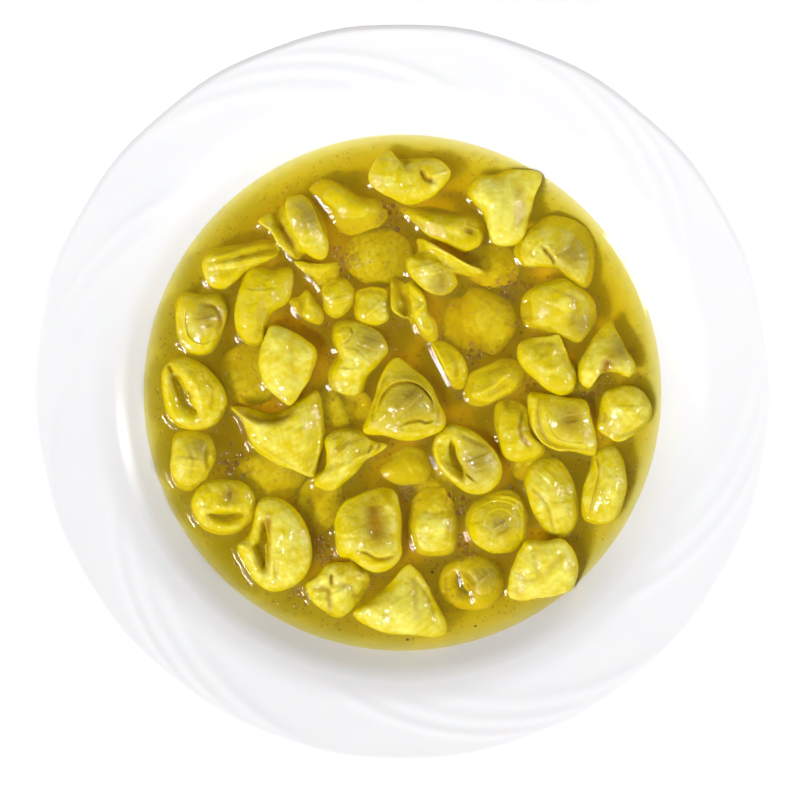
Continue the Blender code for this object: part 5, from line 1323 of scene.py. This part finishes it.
# %% Floor and light
TABLE_HALF = 0.9
floor_corners = [(x * TABLE_HALF, y * TABLE_HALF, 0.0) for x, y in ((-1, -1), (1, -1), (1, 1), (-1, 1))]
floor_mesh = bpy.data.meshes.new("table_top")
floor_mesh.from_pydata(floor_corners, [], [(0, 1, 2, 3)])
floor = bpy.data.objects.new("table_top", floor_mesh)
bpy.context.scene.collection.objects.link(floor)
table_white, output = new_material("white_table")
matt = add_node(table_white, "ShaderNodeBsdfPrincipled", Base_Color=linear("#FAFAFA"), Roughness=0.9,
                Emission_Color=linear("#FFFFFF"), Emission_Strength=0.4)
table_white.node_tree.links.new(matt.outputs["BSDF"], output.inputs["Surface"])
floor_mesh.materials.append(table_white)


def add_lamp(name, place, aim, width, depth, power):
    """Rectangular soft lamp at a place, in metres, turned towards a point."""
    light = bpy.data.lights.new(name, "AREA")
    light.shape = "RECTANGLE"
    light.size, light.size_y, light.energy = width, depth, power
    lamp = bpy.data.objects.new(name, light)
    lamp.location = place
    lamp.rotation_euler = (Vector(aim) - Vector(place)).to_track_quat("-Z", "Y").to_euler()
    bpy.context.scene.collection.objects.link(lamp)
    return lamp


DISH_MIDDLE = (0.0, 0.0, 0.02)
add_lamp("window_left", (-1.45, -1.0, 1.85), DISH_MIDDLE, 0.55, 0.55, 56.0)
add_lamp("strip_right", (0.8, 0.05, 0.32), DISH_MIDDLE, 0.12, 0.35, 3.6)


# %% Sky
SKY_SIDES, SKY_TOP, SKY_LEAN = 0.6, 0.12, 0.6
sky = bpy.data.worlds.new("studio")
sky.use_nodes = True
view = add_node(sky, "ShaderNodeTexCoord")
direction = add_node(sky, "ShaderNodeSeparateXYZ", Vector=(view, "Generated"))
dim = add_node(sky, "ShaderNodeMapRange", {"interpolation_type": "SMOOTHSTEP"}, Value=(direction, "Z"),
               From_Min=0.45, From_Max=0.97, To_Min=SKY_SIDES, To_Max=SKY_TOP)
backdrop = sky.node_tree.nodes["Background"]
backdrop.inputs["Color"].default_value = linear("#FFFFFF")
lean = add_node(sky, "ShaderNodeMath", {"operation": "MULTIPLY_ADD"},
                i0=(direction, "Y"), i1=-SKY_LEAN, i2=1.0)
glow = add_node(sky, "ShaderNodeMath", {"operation": "MULTIPLY"}, i0=(dim, "Result"), i1=(lean, 0))
sky.node_tree.links.new(glow.outputs[0], backdrop.inputs["Strength"])
bpy.context.scene.world = sky
bpy.context.scene.view_settings.view_transform = "Standard"
print("sky: sides", SKY_SIDES, " top", SKY_TOP)


# %% Camera
FROM_UPRIGHT = math.radians(4.5)
DISTANCE = 0.75
VIEW_WIDTH = 0.24749
target = Vector((0.0, 0.0, RIM_HEIGHT * MM))
back = Vector((0.0, math.sin(FROM_UPRIGHT), math.cos(FROM_UPRIGHT)))
up = Vector((0.0, math.cos(FROM_UPRIGHT), -math.sin(FROM_UPRIGHT)))
right = up.cross(back)
lens = bpy.data.cameras.new("camera")
lens.sensor_width = 36.0
lens.sensor_fit = "HORIZONTAL"
lens.lens = 36.0 * DISTANCE / VIEW_WIDTH
lens.shift_x, lens.shift_y = -0.0005, 0.00278
camera = bpy.data.objects.new("camera", lens)
turn = Matrix((right, up, back)).transposed().to_4x4()
camera.matrix_world = Matrix.Translation(target + back * DISTANCE) @ turn
bpy.context.scene.collection.objects.link(camera)
bpy.context.scene.camera = camera
print("camera is", DISTANCE, "m from the rim")
